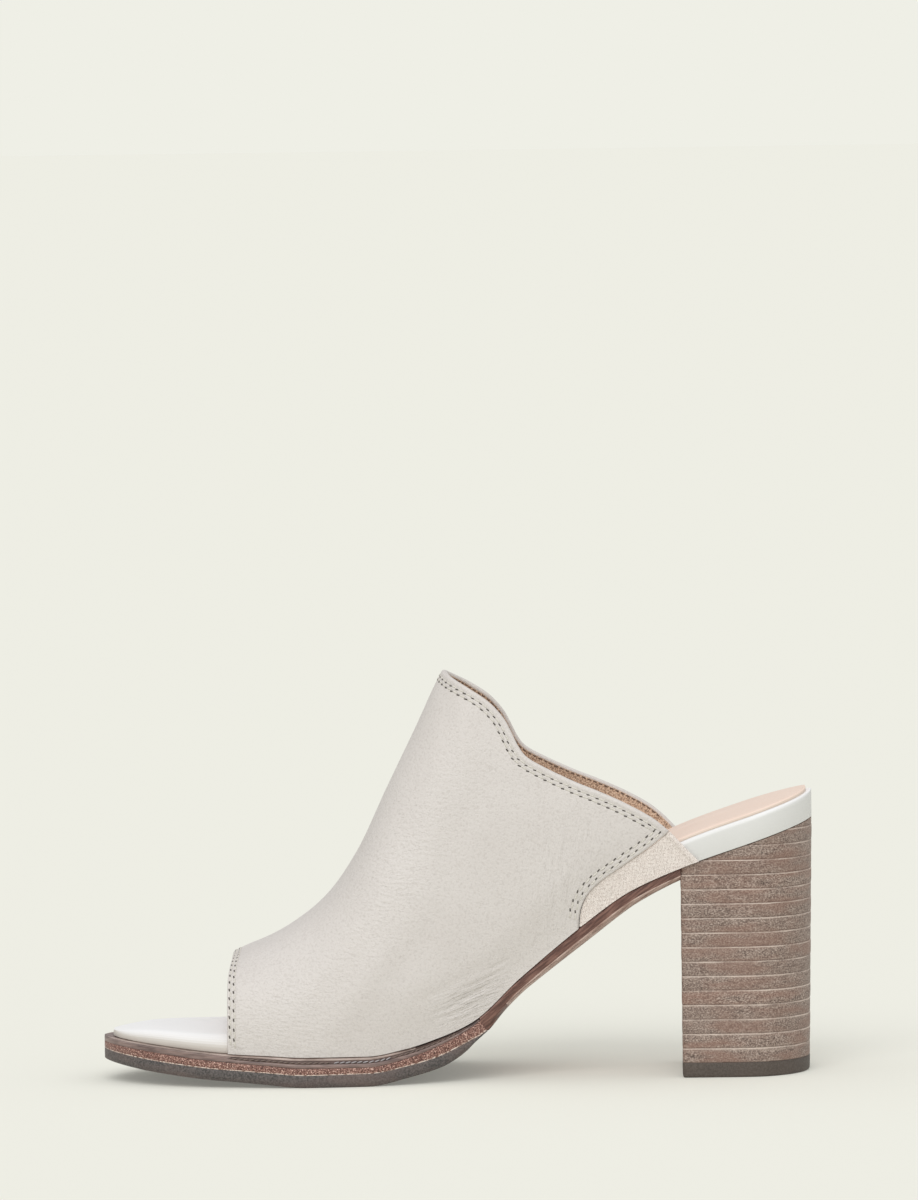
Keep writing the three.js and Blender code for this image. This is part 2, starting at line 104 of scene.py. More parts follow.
# x, then the height of the sole's top, the half widths and how far each side swells.
LAST = (
    (-116, 14.6, 28.0, 29.0, 0.02, 0.02),
    (-98, 12.7, 31.5, 32.5, 0.02, 0.02),
    (-78, 10.8, 35.4, 36.0, 0.02, 0.02),
    (-62, 10.0, 38.0, 38.4, 0.02, 0.03),
    (-50, 9.4, 39.1, 39.0, 0.02, 0.03),
    (-30, 9.4, 37.8, 39.2, 0.04, 0.04),
    (-18, 11.3, 35.2, 38.4, 0.05, 0.04),
    (-9, 13.8, 32.8, 37.2, 0.07, 0.04),
    (4, 19.1, 29.4, 34.9, 0.09, 0.04),
    (20, 33.2, 27.0, 32.4, 0.10, 0.03),
    (40, 49.6, 26.7, 30.9, 0.08, 0.02),
    (56, 61.0, 28.0, 30.2, 0.04, 0.01),
    (73, 68.6, 29.4, 29.9, 0.01, 0.01),
    (94, 75.8, 29.8, 29.8, 0.0, 0.0),
    (116, 83.0, 28.6, 28.6, 0.0, 0.0),
)
# x, then the ridge's height and side shift, and the squareness of the section.
RIDGE = (
    (-78, 39.4, -1, 2.55),
    (-72, 42.3, -1, 2.5),
    (-61, 46.5, -2, 2.4),
    (-50, 53.4, -3, 2.3),
    (-42, 60.6, -3, 2.25),
    (-32.6, 74.2, -3, 2.15),
    (-23, 94.0, -2, 2.05),
    (-13.4, 113.4, -1, 2.0),
    (-4.3, 132.0, 0, 2.0),
    (5, 145.0, 0, 2.0),
    (18, 148.0, 0, 2.0),
    (40, 152.0, 0, 2.1),
    (60, 165.0, 0, 2.2),
    (86, 185.0, 0, 2.3),
)
# x, then the depths where the welt, the leather and the rubber end, and the sole's ledge.
SOLE_LAYERS = (
    (-116.5, 1.6, 3.9, 7.4, 2.8),
    (-98, 1.8, 4.5, 8.3, 2.8),
    (-75, 2.2, 4.7, 8.5, 2.8),
    (-50, 3.0, 5.3, 9.4, 2.8),
    (-30, 3.0, 5.1, 9.4, 2.6),
    (-18, 2.6, 5.1, 9.0, 2.2),
    (-9, 2.1, 5.3, 9.1, 1.7),
    (-2, 1.5, 4.8, 7.8, 1.1),
    (4, 0.9, 3.2, 5.5, 0.6),
    (14, 0.3, 2.8, 4.2, 0.0),
    (40, 0.0, 3.3, 5.2, -0.9),
    (60, 0.0, 2.9, 4.8, -1.6),
    (74, 0.0, 2.4, 4.1, -2.2),
)
# x, then the footbed's thickness and crown.
FOOTBED = (
    (-114, 1.7, 0.3),
    (-107, 2.9, 0.6),
    (-101, 3.8, 0.8),
    (-88, 4.7, 1.0),
    (-75, 5.3, 1.2),
    (-26, 5.4, 1.0),
    (20, 6.2, 0.6),
    (60, 7.8, 0.9),
    (90, 8.4, 1.2),
    (116.5, 8.3, 0.6),
)
# Side views of the collar's edge and of the gore's front edge, as (x, z).
COLLAR = (
    (-5.5, 136), (-2.8, 132.2), (5.4, 127.5), (11.3, 123.4), (15.7, 118.5), (18.3, 113.7),
    (20.4, 109.3), (23.2, 105.7), (29, 102.3), (38.5, 97.7), (46.9, 94.2), (55.2, 90.4),
    (63.6, 85.7), (69, 81.3),
)
GORE_EDGE = (
    (68.2, 80.1), (61.5, 74.9), (53.2, 69.2), (46.6, 64.6), (42.6, 60.6), (40.5, 56.8),
    (39.6, 52.8), (39.2, 47.6),
)
REAR_CORNER = (69, 81.3)
REAR_FOOT = (81, 68.8)

# Stitches: the pitch, and how far each row lies from the edge that it follows.
STITCH_PITCH = 3.2
COLLAR_ROWS = (2.15, 3.5)
THROAT_ROWS = (1.25, 2.65)
GORE_ROWS = (1.4, 3.1)
LINING_ROW = 1.35
LINING_PITCH = 2.0
WELT_PITCH = 1.9
# Stitches and needle holes are small capsules: length, width, height. The needle holes are dark capsules that
# paint the shade inside each hole.
STITCH = (2.3, 0.6, 0.5)
NEEDLE_HOLE = (1.35, 0.5, 0.34)
LINING_STITCH = (1.5, 0.45, 0.4)
WELT_STITCH = (1.9, 0.5, 0.5)

PHOTO_SIZE = (918, 1200)
PIXELS_PER_MM = 3.05
CAMERA_DISTANCE = 3000
CAMERA_AIM = (1.8, 0, 155.6)
CAMERA_PITCH = math.radians(3.25)
CAMERA_ROLL = math.radians(-0.79)
SENSOR = 36
AMBIENT = 0.6
FLOOR_HALF = 40


def clamp01(t):
    return np.clip(t, 0, 1)


def smooth(t):
    t = clamp01(t)
    return t * t * (3 - 2 * t)


def mix(a, b, t):
    return a + (b - a) * t


def monotone(xs, ys):
    """A monotone cubic through the points, level wherever two neighbours are level."""
    slopes = np.diff(ys) / np.diff(xs)
    tangents = np.zeros(len(xs))
    tangents[0] = slopes[0]
    tangents[-1] = slopes[-1]
    for i in range(1, len(xs) - 1):
        before, after = slopes[i - 1], slopes[i]
        if before * after > 0:
            tangents[i] = 2 * before * after / (before + after)

    def value(x):
        x = np.clip(x, xs[0], xs[-1])
        i = np.clip(np.searchsorted(xs, x, side="right") - 1, 0, len(xs) - 2)
        span = xs[i + 1] - xs[i]
        t = (x - xs[i]) / span
        share = (3 - 2 * t) * t * t
        bend = tangents[i] * t * (1 - t) ** 2 - tangents[i + 1] * t * t * (1 - t)
        return mix(ys[i], ys[i + 1], share) + span * bend

    return value


def columns(names, rows):
    data = np.array(rows, float)
    curves = {name: monotone(data[:, 0], data[:, i + 1]) for i, name in enumerate(names.split())}
    return SimpleNamespace(**curves)


last = columns("sole medial lateral medial_bulge lateral_bulge", LAST)
ridge = columns("top side roundness", RIDGE)
layer = columns("welt_end leather_end rubber_end ledge", SOLE_LAYERS)
footbed = columns("thickness crown", FOOTBED)


def run_along(points):
    """The distance walked along a line of points, at each of them."""
    steps = np.linalg.norm(np.diff(points, axis=-2), axis=-1)
    start = np.zeros(steps.shape[:-1] + (1,))
    return np.concatenate([start, np.cumsum(steps, axis=-1)], axis=-1)


def places_on(line, run, at):
    """The places on a line at the given distances along it."""
    return np.stack([np.interp(at, run, line[:, k]) for k in range(line.shape[1])], -1)


def catmull_rom(points, count):
    """Points evenly spaced along a spline through the given ones."""
    pts = np.array(points, float)
    fine = []
    for i in range(len(pts) - 1):
        p0 = pts[max(i - 1, 0)]
        p1, p2 = pts[i], pts[i + 1]
        p3 = pts[min(i + 2, len(pts) - 1)]
        t = np.linspace(0, 1, SPLINE_STEPS, endpoint=False)[:, None]
        v0, v1 = (p2 - p0) / 2, (p3 - p1) / 2
        cubic = (2 * p1 - 2 * p2 + v0 + v1) * t**3 + (-3 * p1 + 3 * p2 - 2 * v0 - v1) * t**2
        fine.append(cubic + v0 * t + p1)
    fine.append(pts[-1:])
    fine = np.concatenate(fine)
    run = run_along(fine)
    return places_on(fine, run, np.linspace(0, run[-1], count))


collar_line = catmull_rom(COLLAR, LINE_POINTS)
gore_line = catmull_rom(GORE_EDGE, LINE_POINTS)


def stack_direction(x):
    """The unit direction in which the layers are stacked, as (x share, z share)."""
    slope = last.sole(x + 0.5) - last.sole(x - 0.5)
    length = np.hypot(1, slope)
    share = smooth((x - UPRIGHT_START) / UPRIGHT_BLEND)
    dx = mix(-slope / length, 0, share)
    dz = mix(1 / length, 1, share)
    return dx / np.hypot(dx, dz), dz / np.hypot(dx, dz)


def stacked(x, height):
    """The place at a height over the sole's top, measured along the stack, as (x, z)."""
    dx, dz = stack_direction(x)
    return x + dx * height, last.sole(x) + dz * height


def middle_line(x, toe_end):
    """The layers' middle line swings to the medial side at the toe."""
    return TOE_TIP_SHIFT * clamp01((toe_end + TOE_LENGTH - x) / TOE_LENGTH) ** 2


def half_width(x, side, offset, toe_end, heel_end):
    """Half a layer's width on one side: the last's, moved out by an offset and rounded at both ends."""
    width = (last.medial(x) if side < 0 else last.lateral(x)) + offset
    toe = clamp01((toe_end + TOE_LENGTH - x) / TOE_LENGTH)
    heel = clamp01((x - heel_end + HEEL_LENGTH) / HEEL_LENGTH)
    toe_share = np.sqrt(1 - toe**2)
    heel_share = (1 - heel**HEEL_SQUARENESS) ** (1 / HEEL_SQUARENESS)
    return width * toe_share * heel_share


def add_uvs(mesh, uvs):
    """A UV map with one place for each point of the mesh."""
    layer_uv = mesh.uv_layers.new(name="UVMap")
    loops = np.zeros(len(mesh.loops), np.int32)
    mesh.loops.foreach_get("vertex_index", loops)
    layer_uv.data.foreach_set("uv", np.asarray(uvs, np.float32)[loops].ravel())


def add_object(name, data):
    piece = bpy.data.objects.new(name, data)
    bpy.context.scene.collection.objects.link(piece)
    return piece


def make_mesh(name, points, faces, materials, slots=None, sharp=None, uvs=None):
    """A mesh object on the CAD body, from points in millimetres."""
    mesh = bpy.data.meshes.new(name)
    mesh.from_pydata((np.asarray(points, float) * MM).tolist(), [], faces)
    for material in materials:
        mesh.materials.append(material)
    if slots is not None:
        mesh.polygons.foreach_set("material_index", slots)
    mesh.polygons.foreach_set("use_smooth", [True] * len(mesh.polygons))
    if uvs is not None:
        add_uvs(mesh, uvs)
    if sharp is not None:
        mesh.set_sharp_from_angle(angle=math.radians(sharp))
    mesh.update()
    return add_object(name, mesh)


def ring_faces(ring_count, size, flip=False, caps=True):
    """Faces of a skin over rings of equal length, closed at both ends unless caps is off."""
    faces = []
    for r in range(ring_count - 1):
        for i in range(size):
            a, b = r * size + i, r * size + (i + 1) % size
            face = (a, a + size, b + size, b)
            faces.append(face[::-1] if flip else face)
    if caps:
        start = tuple(range(size))
        end = tuple((ring_count - 1) * size + i for i in range(size))
        faces.append(start[::-1] if flip else start)
        faces.append(end if flip else end[::-1])
    return faces


def edge_strip(first, outer_run, inner_run, reverse):
    """Triangles across a wall's edge, between its outer points and its inner ones. The inner points
    follow the outer ones in the ring, and run back the other way."""
    outer = [first + i for i in range(len(outer_run))]
    inner = [first + len(outer_run) + i for i in range(len(inner_run))][::-1]
    inner_run = inner_run[::-1]
    i = j = 0
    faces = []
    while i < len(outer) - 1 or j < len(inner) - 1:
        outer_next = outer_run[i + 1] if i < len(outer) - 1 else math.inf
        inner_next = inner_run[j + 1] if j < len(inner) - 1 else math.inf
        if outer_next <= inner_next:
            faces.append((outer[i], outer[i + 1], inner[j]))
            i += 1
        else:
            faces.append((outer[i], inner[j + 1], inner[j]))
            j += 1
    return [face[::-1] for face in faces] if reverse else faces


def pair_strip(first, size, reverse):
    """Faces across a symmetric ring whose first point lies on its middle line."""
    faces = [(first, first + 1, first + size - 1)]
    for i in range(1, (size - 1) // 2):
        faces.append((first + i, first + i + 1, first + size - i - 1, first + size - i))
    if size % 2 == 0:
        half = size // 2
        faces.append((first + half - 1, first + half, first + half + 1))
    return [face[::-1] for face in faces] if reverse else faces


def layer_stations(start, stop, pitch, round_toe, round_heel):
    """Stations along a layer, closest where its plan outline turns round the toe and the heel."""
    parts = []
    first = start + TOE_LENGTH if round_toe else start
    final = stop - HEEL_LENGTH if round_heel else stop
    if round_toe:
        turns = np.linspace(TOE_FIRST_TURN, 1, TOE_STATIONS, endpoint=False) * math.pi / 2
        parts.append(start + TOE_LENGTH * (1 - np.cos(turns)))
    parts.append(np.linspace(first, final, max(2, int((final - first) / pitch))))
    if round_heel:
        turns = np.linspace(0, HEEL_LAST_TURN, HEEL_STATIONS)[1:] * math.pi / 2
        parts.append(final + HEEL_LENGTH * np.sin(turns))
    return np.concatenate(parts)


def layer_piece(name, xs, offset, toe_end, heel_end, rows, materials, slot_of=None, sharp=35):
    """A stacked layer. rows lists one half of its section from the top's middle to the bottom's
    middle, as (share of the half width, inset, height), each an array over the stations."""
    rings = []
    for side in (1, -1):
        half = []
        for share, inset, height in rows:
            height = np.broadcast_to(height, xs.shape)
            px, pz = stacked(xs, height)
            inside = np.clip(px, toe_end + 0.02, heel_end - 0.02)
            wide = half_width(inside, side, offset(inside), toe_end, heel_end)
            width = np.maximum(share * wide - inset, RIM_MIN * np.minimum(1, share) * 0.5)
            half.append(np.stack([px, middle_line(inside, toe_end) + side * width, pz], -1))
        rings.append(half)
    loop = rings[0] + rings[1][::-1]
    points = np.stack(loop, 1)
    size = len(loop)
    faces = ring_faces(len(xs), size)
    slots = None
    if slot_of is not None:
        count = len(rows)
        across = [min(i, size - 2 - i) if i < size - 1 else count - 1 for i in range(size)]
        wall = [slot_of[min(k, len(slot_of) - 1)] for k in across]
        slots = wall * (len(xs) - 1) + [slot_of[0]] * 2
    return make_mesh(name, points.reshape(-1, 3), faces, materials, slots, sharp)


def trim(piece, place, direction):
    """Cuts away all of a piece that lies past a plane, and closes it there."""
    work = bmesh.new()
    work.from_mesh(piece.data)
    everything = work.verts[:] + work.edges[:] + work.faces[:]
    cut = bmesh.ops.bisect_plane(
        work, geom=everything, plane_co=Vector(place) * MM, plane_no=direction, clear_outer=True,
    )
    rim = [part for part in cut["geom_cut"] if isinstance(part, bmesh.types.BMEdge)]
    bmesh.ops.edgeloop_fill(work, edges=rim)
    work.to_mesh(piece.data)
    work.free()


class Shader:
    """A principled material with short calls for adding and linking nodes."""

    def __init__(self, name, roughness=0.5, **sockets):
        self.material = bpy.data.materials.new(name)
        self.material.use_nodes = True
        self.nodes = self.material.node_tree.nodes
        self.links = self.material.node_tree.links
        self.principled = self.nodes["Principled BSDF"]
        self.principled.inputs["Roughness"].default_value = roughness
        for socket, value in sockets.items():
            self.principled.inputs[socket.replace("_", " ")].default_value = value
        self.place = self.nodes.new("ShaderNodeTexCoord").outputs["Object"]

    def put(self, socket, value):
        if isinstance(value, bpy.types.NodeSocket):
            self.links.new(value, socket)
        else:
            socket.default_value = value

    def node(self, kind, **inputs):
        """A new node with its inputs set or linked. An underscore stands for a space."""
        node = self.nodes.new(kind)
        for name, value in inputs.items():
            self.put(node.inputs[name.replace("_", " ")], value)
        return node

    def noise(self, size, detail=2.0, roughness=0.5, stretch=None, slope=0):
        """Noise whose features are about that many millimetres across. stretch squeezes them along
        each axis, and slope tips them up from the ground by that many degrees in side view."""
        place = self.place
        if stretch is not None:
            place = self.mapped((0, 0, 0), [1 / share for share in stretch], slope)
        scale = 1 / (size * MM)
        node = self.node("ShaderNodeTexNoise", Scale=scale, Detail=detail, Roughness=roughness, Vector=place)
        return node.outputs["Fac"]

    def mapped(self, centre, scale, slope=0):
        """The place on the piece, counted from a centre in sizes and axes of its own."""
        turn = (0, -math.radians(slope), 0)
        node = self.node("ShaderNodeMapping", Location=centre, Rotation=turn, Scale=scale, Vector=self.place)
        node.vector_type = "TEXTURE"
        return node.outputs["Vector"]

    def patch(self, x, z, wide, high, slope=0, y=0, deep=200):
        """A soft spot in side view that fades from 1 at its centre to 0, in millimetres."""
        centre, reach = ([part * MM for part in parts] for parts in ((x, y, z), (wide, deep, high)))
        node = self.node("ShaderNodeTexGradient", Vector=self.mapped(centre, reach, slope))
        node.gradient_type = "SPHERICAL"
        return node.outputs["Fac"]

    def cells(self, size):
        node = self.node("ShaderNodeTexVoronoi", Scale=1 / (size * MM), Vector=self.place)
        return node.outputs["Distance"]

    def math(self, operation, a, b=0.0):
        node = self.nodes.new("ShaderNodeMath")
        node.operation = operation
        self.put(node.inputs[0], a)
        self.put(node.inputs[1], b)
        return node.outputs[0]

    def times(self, a, b):
        return self.math("MULTIPLY", a, b)

    def tones(self, value, *stops):
        """A colour ramp through (position, red, green, blue) stops, in screen colours."""
        return self.ramp(value, [(position, srgb(*screen)) for position, *screen in stops])

    def levels(self, value, *stops):
        """A curve of grey levels through (position, level) stops."""
        return self.ramp(value, [(position, (level,) * 3) for position, level in stops])

    def uv_split(self):
        """The two counts of the piece's UV map."""
        uv = self.nodes.new("ShaderNodeUVMap").outputs["UV"]
        return self.node("ShaderNodeSeparateXYZ", Vector=uv).outputs[:2]

    def ramp(self, value, stops):
        """A colour ramp through (position, colour) stops."""
        node = self.node("ShaderNodeValToRGB", Fac=value)
        ramp = node.color_ramp
        while len(ramp.elements) < len(stops):
            ramp.elements.new(0.5)
        for element, (position, color) in zip(ramp.elements, stops):
            element.position = position
            element.color = (*color, 1)
        return node.outputs["Color"]

    def blend(self, share, a, b, kind="MIX"):
        node = self.nodes.new("ShaderNodeMix")
        node.data_type = "RGBA"
        node.blend_type = kind
        self.put(node.inputs["Factor"], share)
        self.put(node.inputs["A"], a if isinstance(a, bpy.types.NodeSocket) else (*a, 1))
        self.put(node.inputs["B"], b if isinstance(b, bpy.types.NodeSocket) else (*b, 1))
        return node.outputs["Result"]

    def color(self, value):
        self.links.new(value, self.principled.inputs["Base Color"])

    def rough(self, value, low, high):
        node = self.node("ShaderNodeMapRange", Value=value, To_Min=low, To_Max=high)
        self.links.new(node.outputs["Result"], self.principled.inputs["Roughness"])

    def bump(self, *layers):
        """Relief from (height socket, millimetres high, strength) layers, coarse to fine."""
        normal = None
        for height, tall, strength in layers:
            node = self.node("ShaderNodeBump", Strength=strength, Distance=tall * MM, Height=height)
            if normal is not None:
                self.links.new(normal, node.inputs["Normal"])
            normal = node.outputs["Normal"]
        self.links.new(normal, self.principled.inputs["Normal"])


def srgb(red, green, blue):
    """A colour from 0 to 255 as seen on screen, in the renderer's linear numbers."""
    share = np.array([red, green, blue]) / 255
    linear = np.where(share <= 0.04045, share / 12.92, ((share + 0.055) / 1.055) ** 2.4)
    return tuple(float(c) for c in linear)


def soft_leather(name, light, shade, roughness, grain=0.75, relief=0.10):
    """The sock's finished leather: fine grain, a faint cloudiness and a satin surface."""
    s = Shader(name, roughness)
    cloud = s.noise(26, 3, 0.55)
    fleck = s.noise(1.1, 2, 0.6)
    tone = s.blend(s.times(cloud, 0.9), light, shade)
    s.color(s.blend(s.times(fleck, 0.16), tone, shade))
    s.rough(s.noise(9, 2), roughness - 0.06, roughness + 0.08)
    s.bump(
        (s.noise(7, 3, 0.5), 0.35, 0.22),
        (s.noise(1.9, 3, 0.65), relief * 1.6, 0.35),
        (s.cells(grain), relief, 0.45),
    )
    return s.material


def vamp_material():
    """The upper's leather: pebbled grain, ripples near the throat, and fine wrinkles where it bends."""
    s = Shader("vamp_leather", 0.46)
    light, shade, deep = srgb(219, 214, 210), srgb(207, 201, 196), srgb(184, 177, 171)
    cloud = s.noise(24, 3, 0.55)
    pebble = s.noise(0.8, 3, 0.6)
    ripple = s.noise(0.95, 2, 0.55, (0.34, 0.5, 1.0), slope=-6)
    wrinkle = s.noise(1.0, 2, 0.55, (1.0, 0.5, 0.14), slope=-9)
    fold = s.noise(0.7, 2, 0.6, (0.10, 0.4, 1.0), slope=20)
    throat = s.patch(-62, 30, 44, 40)
    instep = s.patch(-24, 70, 26, 62, slope=-30)
    flank = s.patch(37, 68, 24, 32)
    waist = s.patch(5, 27, 19, 10, slope=20, y=-30, deep=40)
    rippled = s.times(ripple, s.math("MAXIMUM", throat, instep))
    wrinkled = s.times(wrinkle, s.times(flank, 1.6))
    folded = s.times(fold, s.times(waist, 2.6))
    tone = s.blend(s.times(cloud, 0.9), light, shade)
    pore = s.levels(pebble, (0.34, 1), (0.5, 0))
    s.color(s.blend(s.times(pore, 0.35), tone, deep))
    s.rough(s.noise(9, 2), 0.42, 0.54)
    s.bump(
        (s.noise(7, 3, 0.5), 0.35, 0.25),
        (folded, 0.5, 0.8),
        (wrinkled, 0.6, 0.8),
        (rippled, 0.6, 0.8),
        (pebble, 0.26, 0.6),
        (s.cells(0.7), 0.12, 0.4),
    )
    return s.material


def footbed_material():
    """White leather over the footbed, with painted light and shade: bright where its faces look up, darker on
    the sides that turn down over the edge, darkest on the side round the toe.
    """
    s = Shader("footbed_leather", 0.5)
    cloud = s.noise(18, 3, 0.55)
    # Painted light and shade: top is the lit colour, side the shaded colour round the toe, rear the shaded
    # colour of the other sides.
    top = s.blend(cloud, srgb(246, 246, 247), srgb(240, 240, 240))
    side = s.blend(cloud, srgb(212, 207, 199), srgb(202, 196, 187))
    rear = s.blend(cloud, srgb(226, 226, 224), srgb(218, 218, 215))
    normal = s.nodes.new("ShaderNodeNewGeometry").outputs["True Normal"]
    facing = s.node("ShaderNodeSeparateXYZ", Vector=normal)
    lit_from_above = s.levels(facing.outputs["Z"], (0.3, 0), (0.97, 1))
    front = s.levels(s.patch(-95, 16, 60, 60), (0.0, 0), (0.2, 1))
    s.color(s.blend(lit_from_above, s.blend(front, rear, side), top))
    s.bump((s.noise(5, 3, 0.5), 0.3, 0.2), (s.noise(0.7, 3, 0.6), 0.06, 0.4))
    return s.material


vamp_leather = vamp_material()
footbed_leather = footbed_material()
sock_leather = soft_leather("sock_leather", srgb(244, 224, 210), srgb(236, 212, 196), 0.5, 0.6, 0.05)


def lining_material():
    """Tan suede inside the upper, and its cut edge."""
    s = Shader("lining", 0.75)
    fibre = s.noise(0.45, 3, 0.7)
    cloud = s.noise(9, 2)
    tone = s.tones(fibre, (0.40, 130, 104, 86), (0.5, 204, 174, 148), (0.62, 240, 216, 192))
    s.color(s.blend(s.times(cloud, 0.3), tone, srgb(196, 168, 146)))
    s.bump((fibre, 0.14, 0.5))
    return s.material


def elastic_material():
    """Woven elastic: a close, uneven weave. Its UV map counts millimetres along the weave."""
    s = Shader("elastic", 0.88)
    s.principled.inputs["Sheen Weight"].default_value = 0.25
    along, across = s.uv_split()
    turn = 2 * math.pi
    uneven = s.times(s.noise(0.6, 2, 0.7), 5.0)
    rib = s.math("SINE", s.math("ADD", s.times(along, turn / 0.66), uneven))
    thread = s.math("SINE", s.math("ADD", s.times(across, turn / 0.6), uneven))
    check = s.times(rib, thread)
    fuzz = s.noise(0.42, 2, 0.7)
    height = s.math("ADD", s.times(check, 0.3), s.times(fuzz, 1.1))
    tone = s.tones(height, (0.26, 172, 160, 152), (0.5, 228, 219, 211), (0.78, 252, 246, 240))
    blush = s.noise(3.5, 2)
    s.color(s.blend(s.times(blush, 0.3), tone, srgb(238, 220, 212)))
    s.bump((height, 0.2, 0.8))
    return s.material


def welt_material(name, light, dark, roughness=0.42):
    """Burnished edge leather with fine lines that run along it."""
    s = Shader(name, roughness)
    streak = s.noise(0.9, 3, 0.6, (0.12, 0.12, 1.0))
    cloud = s.noise(6, 2)
    tone = s.ramp(streak, [(0.35, dark), (0.62, light)])
    s.color(s.blend(s.times(cloud, 0.45), tone, dark))
    s.bump((streak, 0.12, 0.4))
    return s.material


def grain_edge_material():
    """The leather sole's stained edge: coarse red-brown fibre ends with pale specks."""
    s = Shader("sole_leather_edge", 0.55)
    fibre = s.noise(0.4, 2, 0.6)
    cloud = s.noise(4, 2)
    tone = s.tones(
        fibre, (0.36, 62, 38, 32), (0.45, 106, 70, 60), (0.53, 140, 100, 88), (0.59, 180, 140, 126),
        (0.66, 232, 200, 186),
    )
    s.color(s.blend(s.times(cloud, 0.25), tone, srgb(120, 84, 74)))
    s.bump((fibre, 0.3, 0.7))
    return s.material


def waist_edge_material():
    """The same edge at the waist, smoother, darker and burnished in long streaks."""
    s = Shader("sole_waist_edge", 0.38)
    fibre = s.noise(0.7, 3, 0.6, (0.10, 0.35, 1.0), slope=38)
    cloud = s.noise(7, 3)
    tone = s.tones(fibre, (0.38, 82, 54, 46), (0.5, 112, 78, 68), (0.62, 140, 104, 92))
    s.color(s.blend(s.times(cloud, 0.5), tone, srgb(90, 60, 51)))
    s.bump((fibre, 0.14, 0.4))
    return s.material


def bevel_material():
    """The lighter bevel under the waist, and the sole leather's underside."""
    s = Shader("sole_bevel", 0.45)
    streak = s.noise(0.8, 3, 0.6, (0.1, 0.1, 1.0), slope=38)
    cloud = s.noise(12, 3)
    tone = s.tones(streak, (0.36, 128, 98, 88), (0.5, 182, 154, 142), (0.62, 214, 192, 182))
    behind = s.tones(s.patch(60, 40, 56, 60), (0.02, 112, 78, 68), (0.16, 172, 142, 130))
    s.color(s.blend(s.times(cloud, 0.55), tone, behind))
    s.bump((streak, 0.12, 0.4))
    return s.material


def pale_line_material():
    """The thin pale line between the sole's leather and its rubber."""
    s = Shader("pale_seam", 0.6)
    fibre = s.noise(0.9, 2, 0.6)
    s.color(s.tones(fibre, (0.38, 120, 92, 80), (0.5, 206, 184, 172), (0.6, 232, 216, 206)))
    s.bump((fibre, 0.08, 0.4))
    return s.material


def rubber_material(name, light, dark, dust_and_reflection):
    """Dull rubber with fine specks, dusty in scuffs, and lighter near the ground as a painted reflection of
    the floor.
    """
    s = Shader(name, 0.62)
    speck = s.noise(0.6, 3, 0.7)
    scuff = s.noise(7, 3, 0.6, (0.3, 0.3, 1.2))
    tone = s.ramp(speck, [(0.4, dark), (0.6, light)])
    dust = s.levels(scuff, (0.42, 0.0), (0.66, 1.0))
    # Painted reflection: the lowest few millimetres are mixed towards the dust colour.
    low = s.levels(s.patch(0, 0, 400, 4.5), (0.05, 0.0), (0.5, 1.0))
    s.color(s.blend(s.times(s.blend(0.35, dust, low), 0.5), tone, dust_and_reflection))
    s.bump((scuff, 0.12, 0.3), (speck, 0.14, 0.5))
    return s.material


def heel_material():
    """Stacked leather: each lift has mottled fibre, a pale upper edge and a dark seam under it. Its
    UV map counts millimetres round the heel and lifts up it."""
    s = Shader("heel_leather", 0.6)
    _, up = s.uv_split()
    fleck = s.noise(0.4, 2, 0.6, (0.7, 0.7, 1.0))
    streak = s.noise(0.8, 3, 0.65, (0.2, 0.2, 1.0))
    cloud = s.noise(9, 2, 0.5, (0.5, 0.5, 1.8))
    waver = s.times(s.math("SUBTRACT", streak, 0.5), 0.10)
    seam = s.math("ADD", s.math("FRACT", up), waver)
    by_lift = s.nodes.new("ShaderNodeTexWhiteNoise")
    by_lift.noise_dimensions = "1D"
    s.links.new(s.math("FLOOR", up), by_lift.inputs["W"])
    body = s.tones(
        fleck, (0.36, 46, 35, 30), (0.44, 114, 95, 85), (0.54, 154, 134, 123), (0.64, 206, 189, 178),
    )
    grey = s.tones(streak, (0.4, 120, 100, 90), (0.6, 172, 154, 142))
    body = s.blend(0.34, body, grey)
    red = s.times(s.levels(cloud, (0.44, 0), (0.62, 1)), 0.5)
    body = s.blend(red, body, srgb(148, 112, 97))
    body = s.blend(s.times(by_lift.outputs["Value"], 0.25), body, srgb(120, 104, 95))
    pale = s.levels(seam, (0.0, 0), (0.89, 0), (0.94, 1), (0.985, 0.3))
    haze = s.levels(seam, (0.0, 0.35), (0.16, 0), (0.7, 0), (0.95, 0.5))
    dark = s.levels(seam, (0.0, 1), (0.04, 0.6), (0.1, 0), (1.0, 0))
    lower = s.times(s.patch(95, 0, 60, 62), 1.3)
    worn = s.levels(s.noise(4, 3, 0.6, (0.4, 0.4, 2.0)), (0.38, 0.25), (0.6, 1))
    frayed = s.times(s.times(haze, worn), lower)
    body = s.blend(frayed, body, srgb(188, 172, 160))
    body = s.blend(s.times(pale, worn), body, srgb(214, 198, 186))
    s.color(s.blend(s.times(dark, 0.45), body, srgb(84, 62, 54)))
    s.rough(fleck, 0.5, 0.68)
    s.bump((streak, 0.14, 0.4), (fleck, 0.24, 0.7))
    return s.material


def thread_material():
    s = Shader("thread", 0.6)
    twist = s.noise(0.35, 2, 0.6)
    s.color(s.tones(twist, (0.3, 196, 191, 182), (0.7, 228, 224, 216)))
    s.bump((twist, 0.08, 0.4))
    return s.material


def speckled_material(name, color, roughness):
    """One colour, darker in specks, for small pieces."""
    s = Shader(name, roughness)
    speck = s.noise(0.4, 2, 0.6)
    s.color(s.blend(speck, color, tuple(c * 0.5 for c in color)))
    return s.material


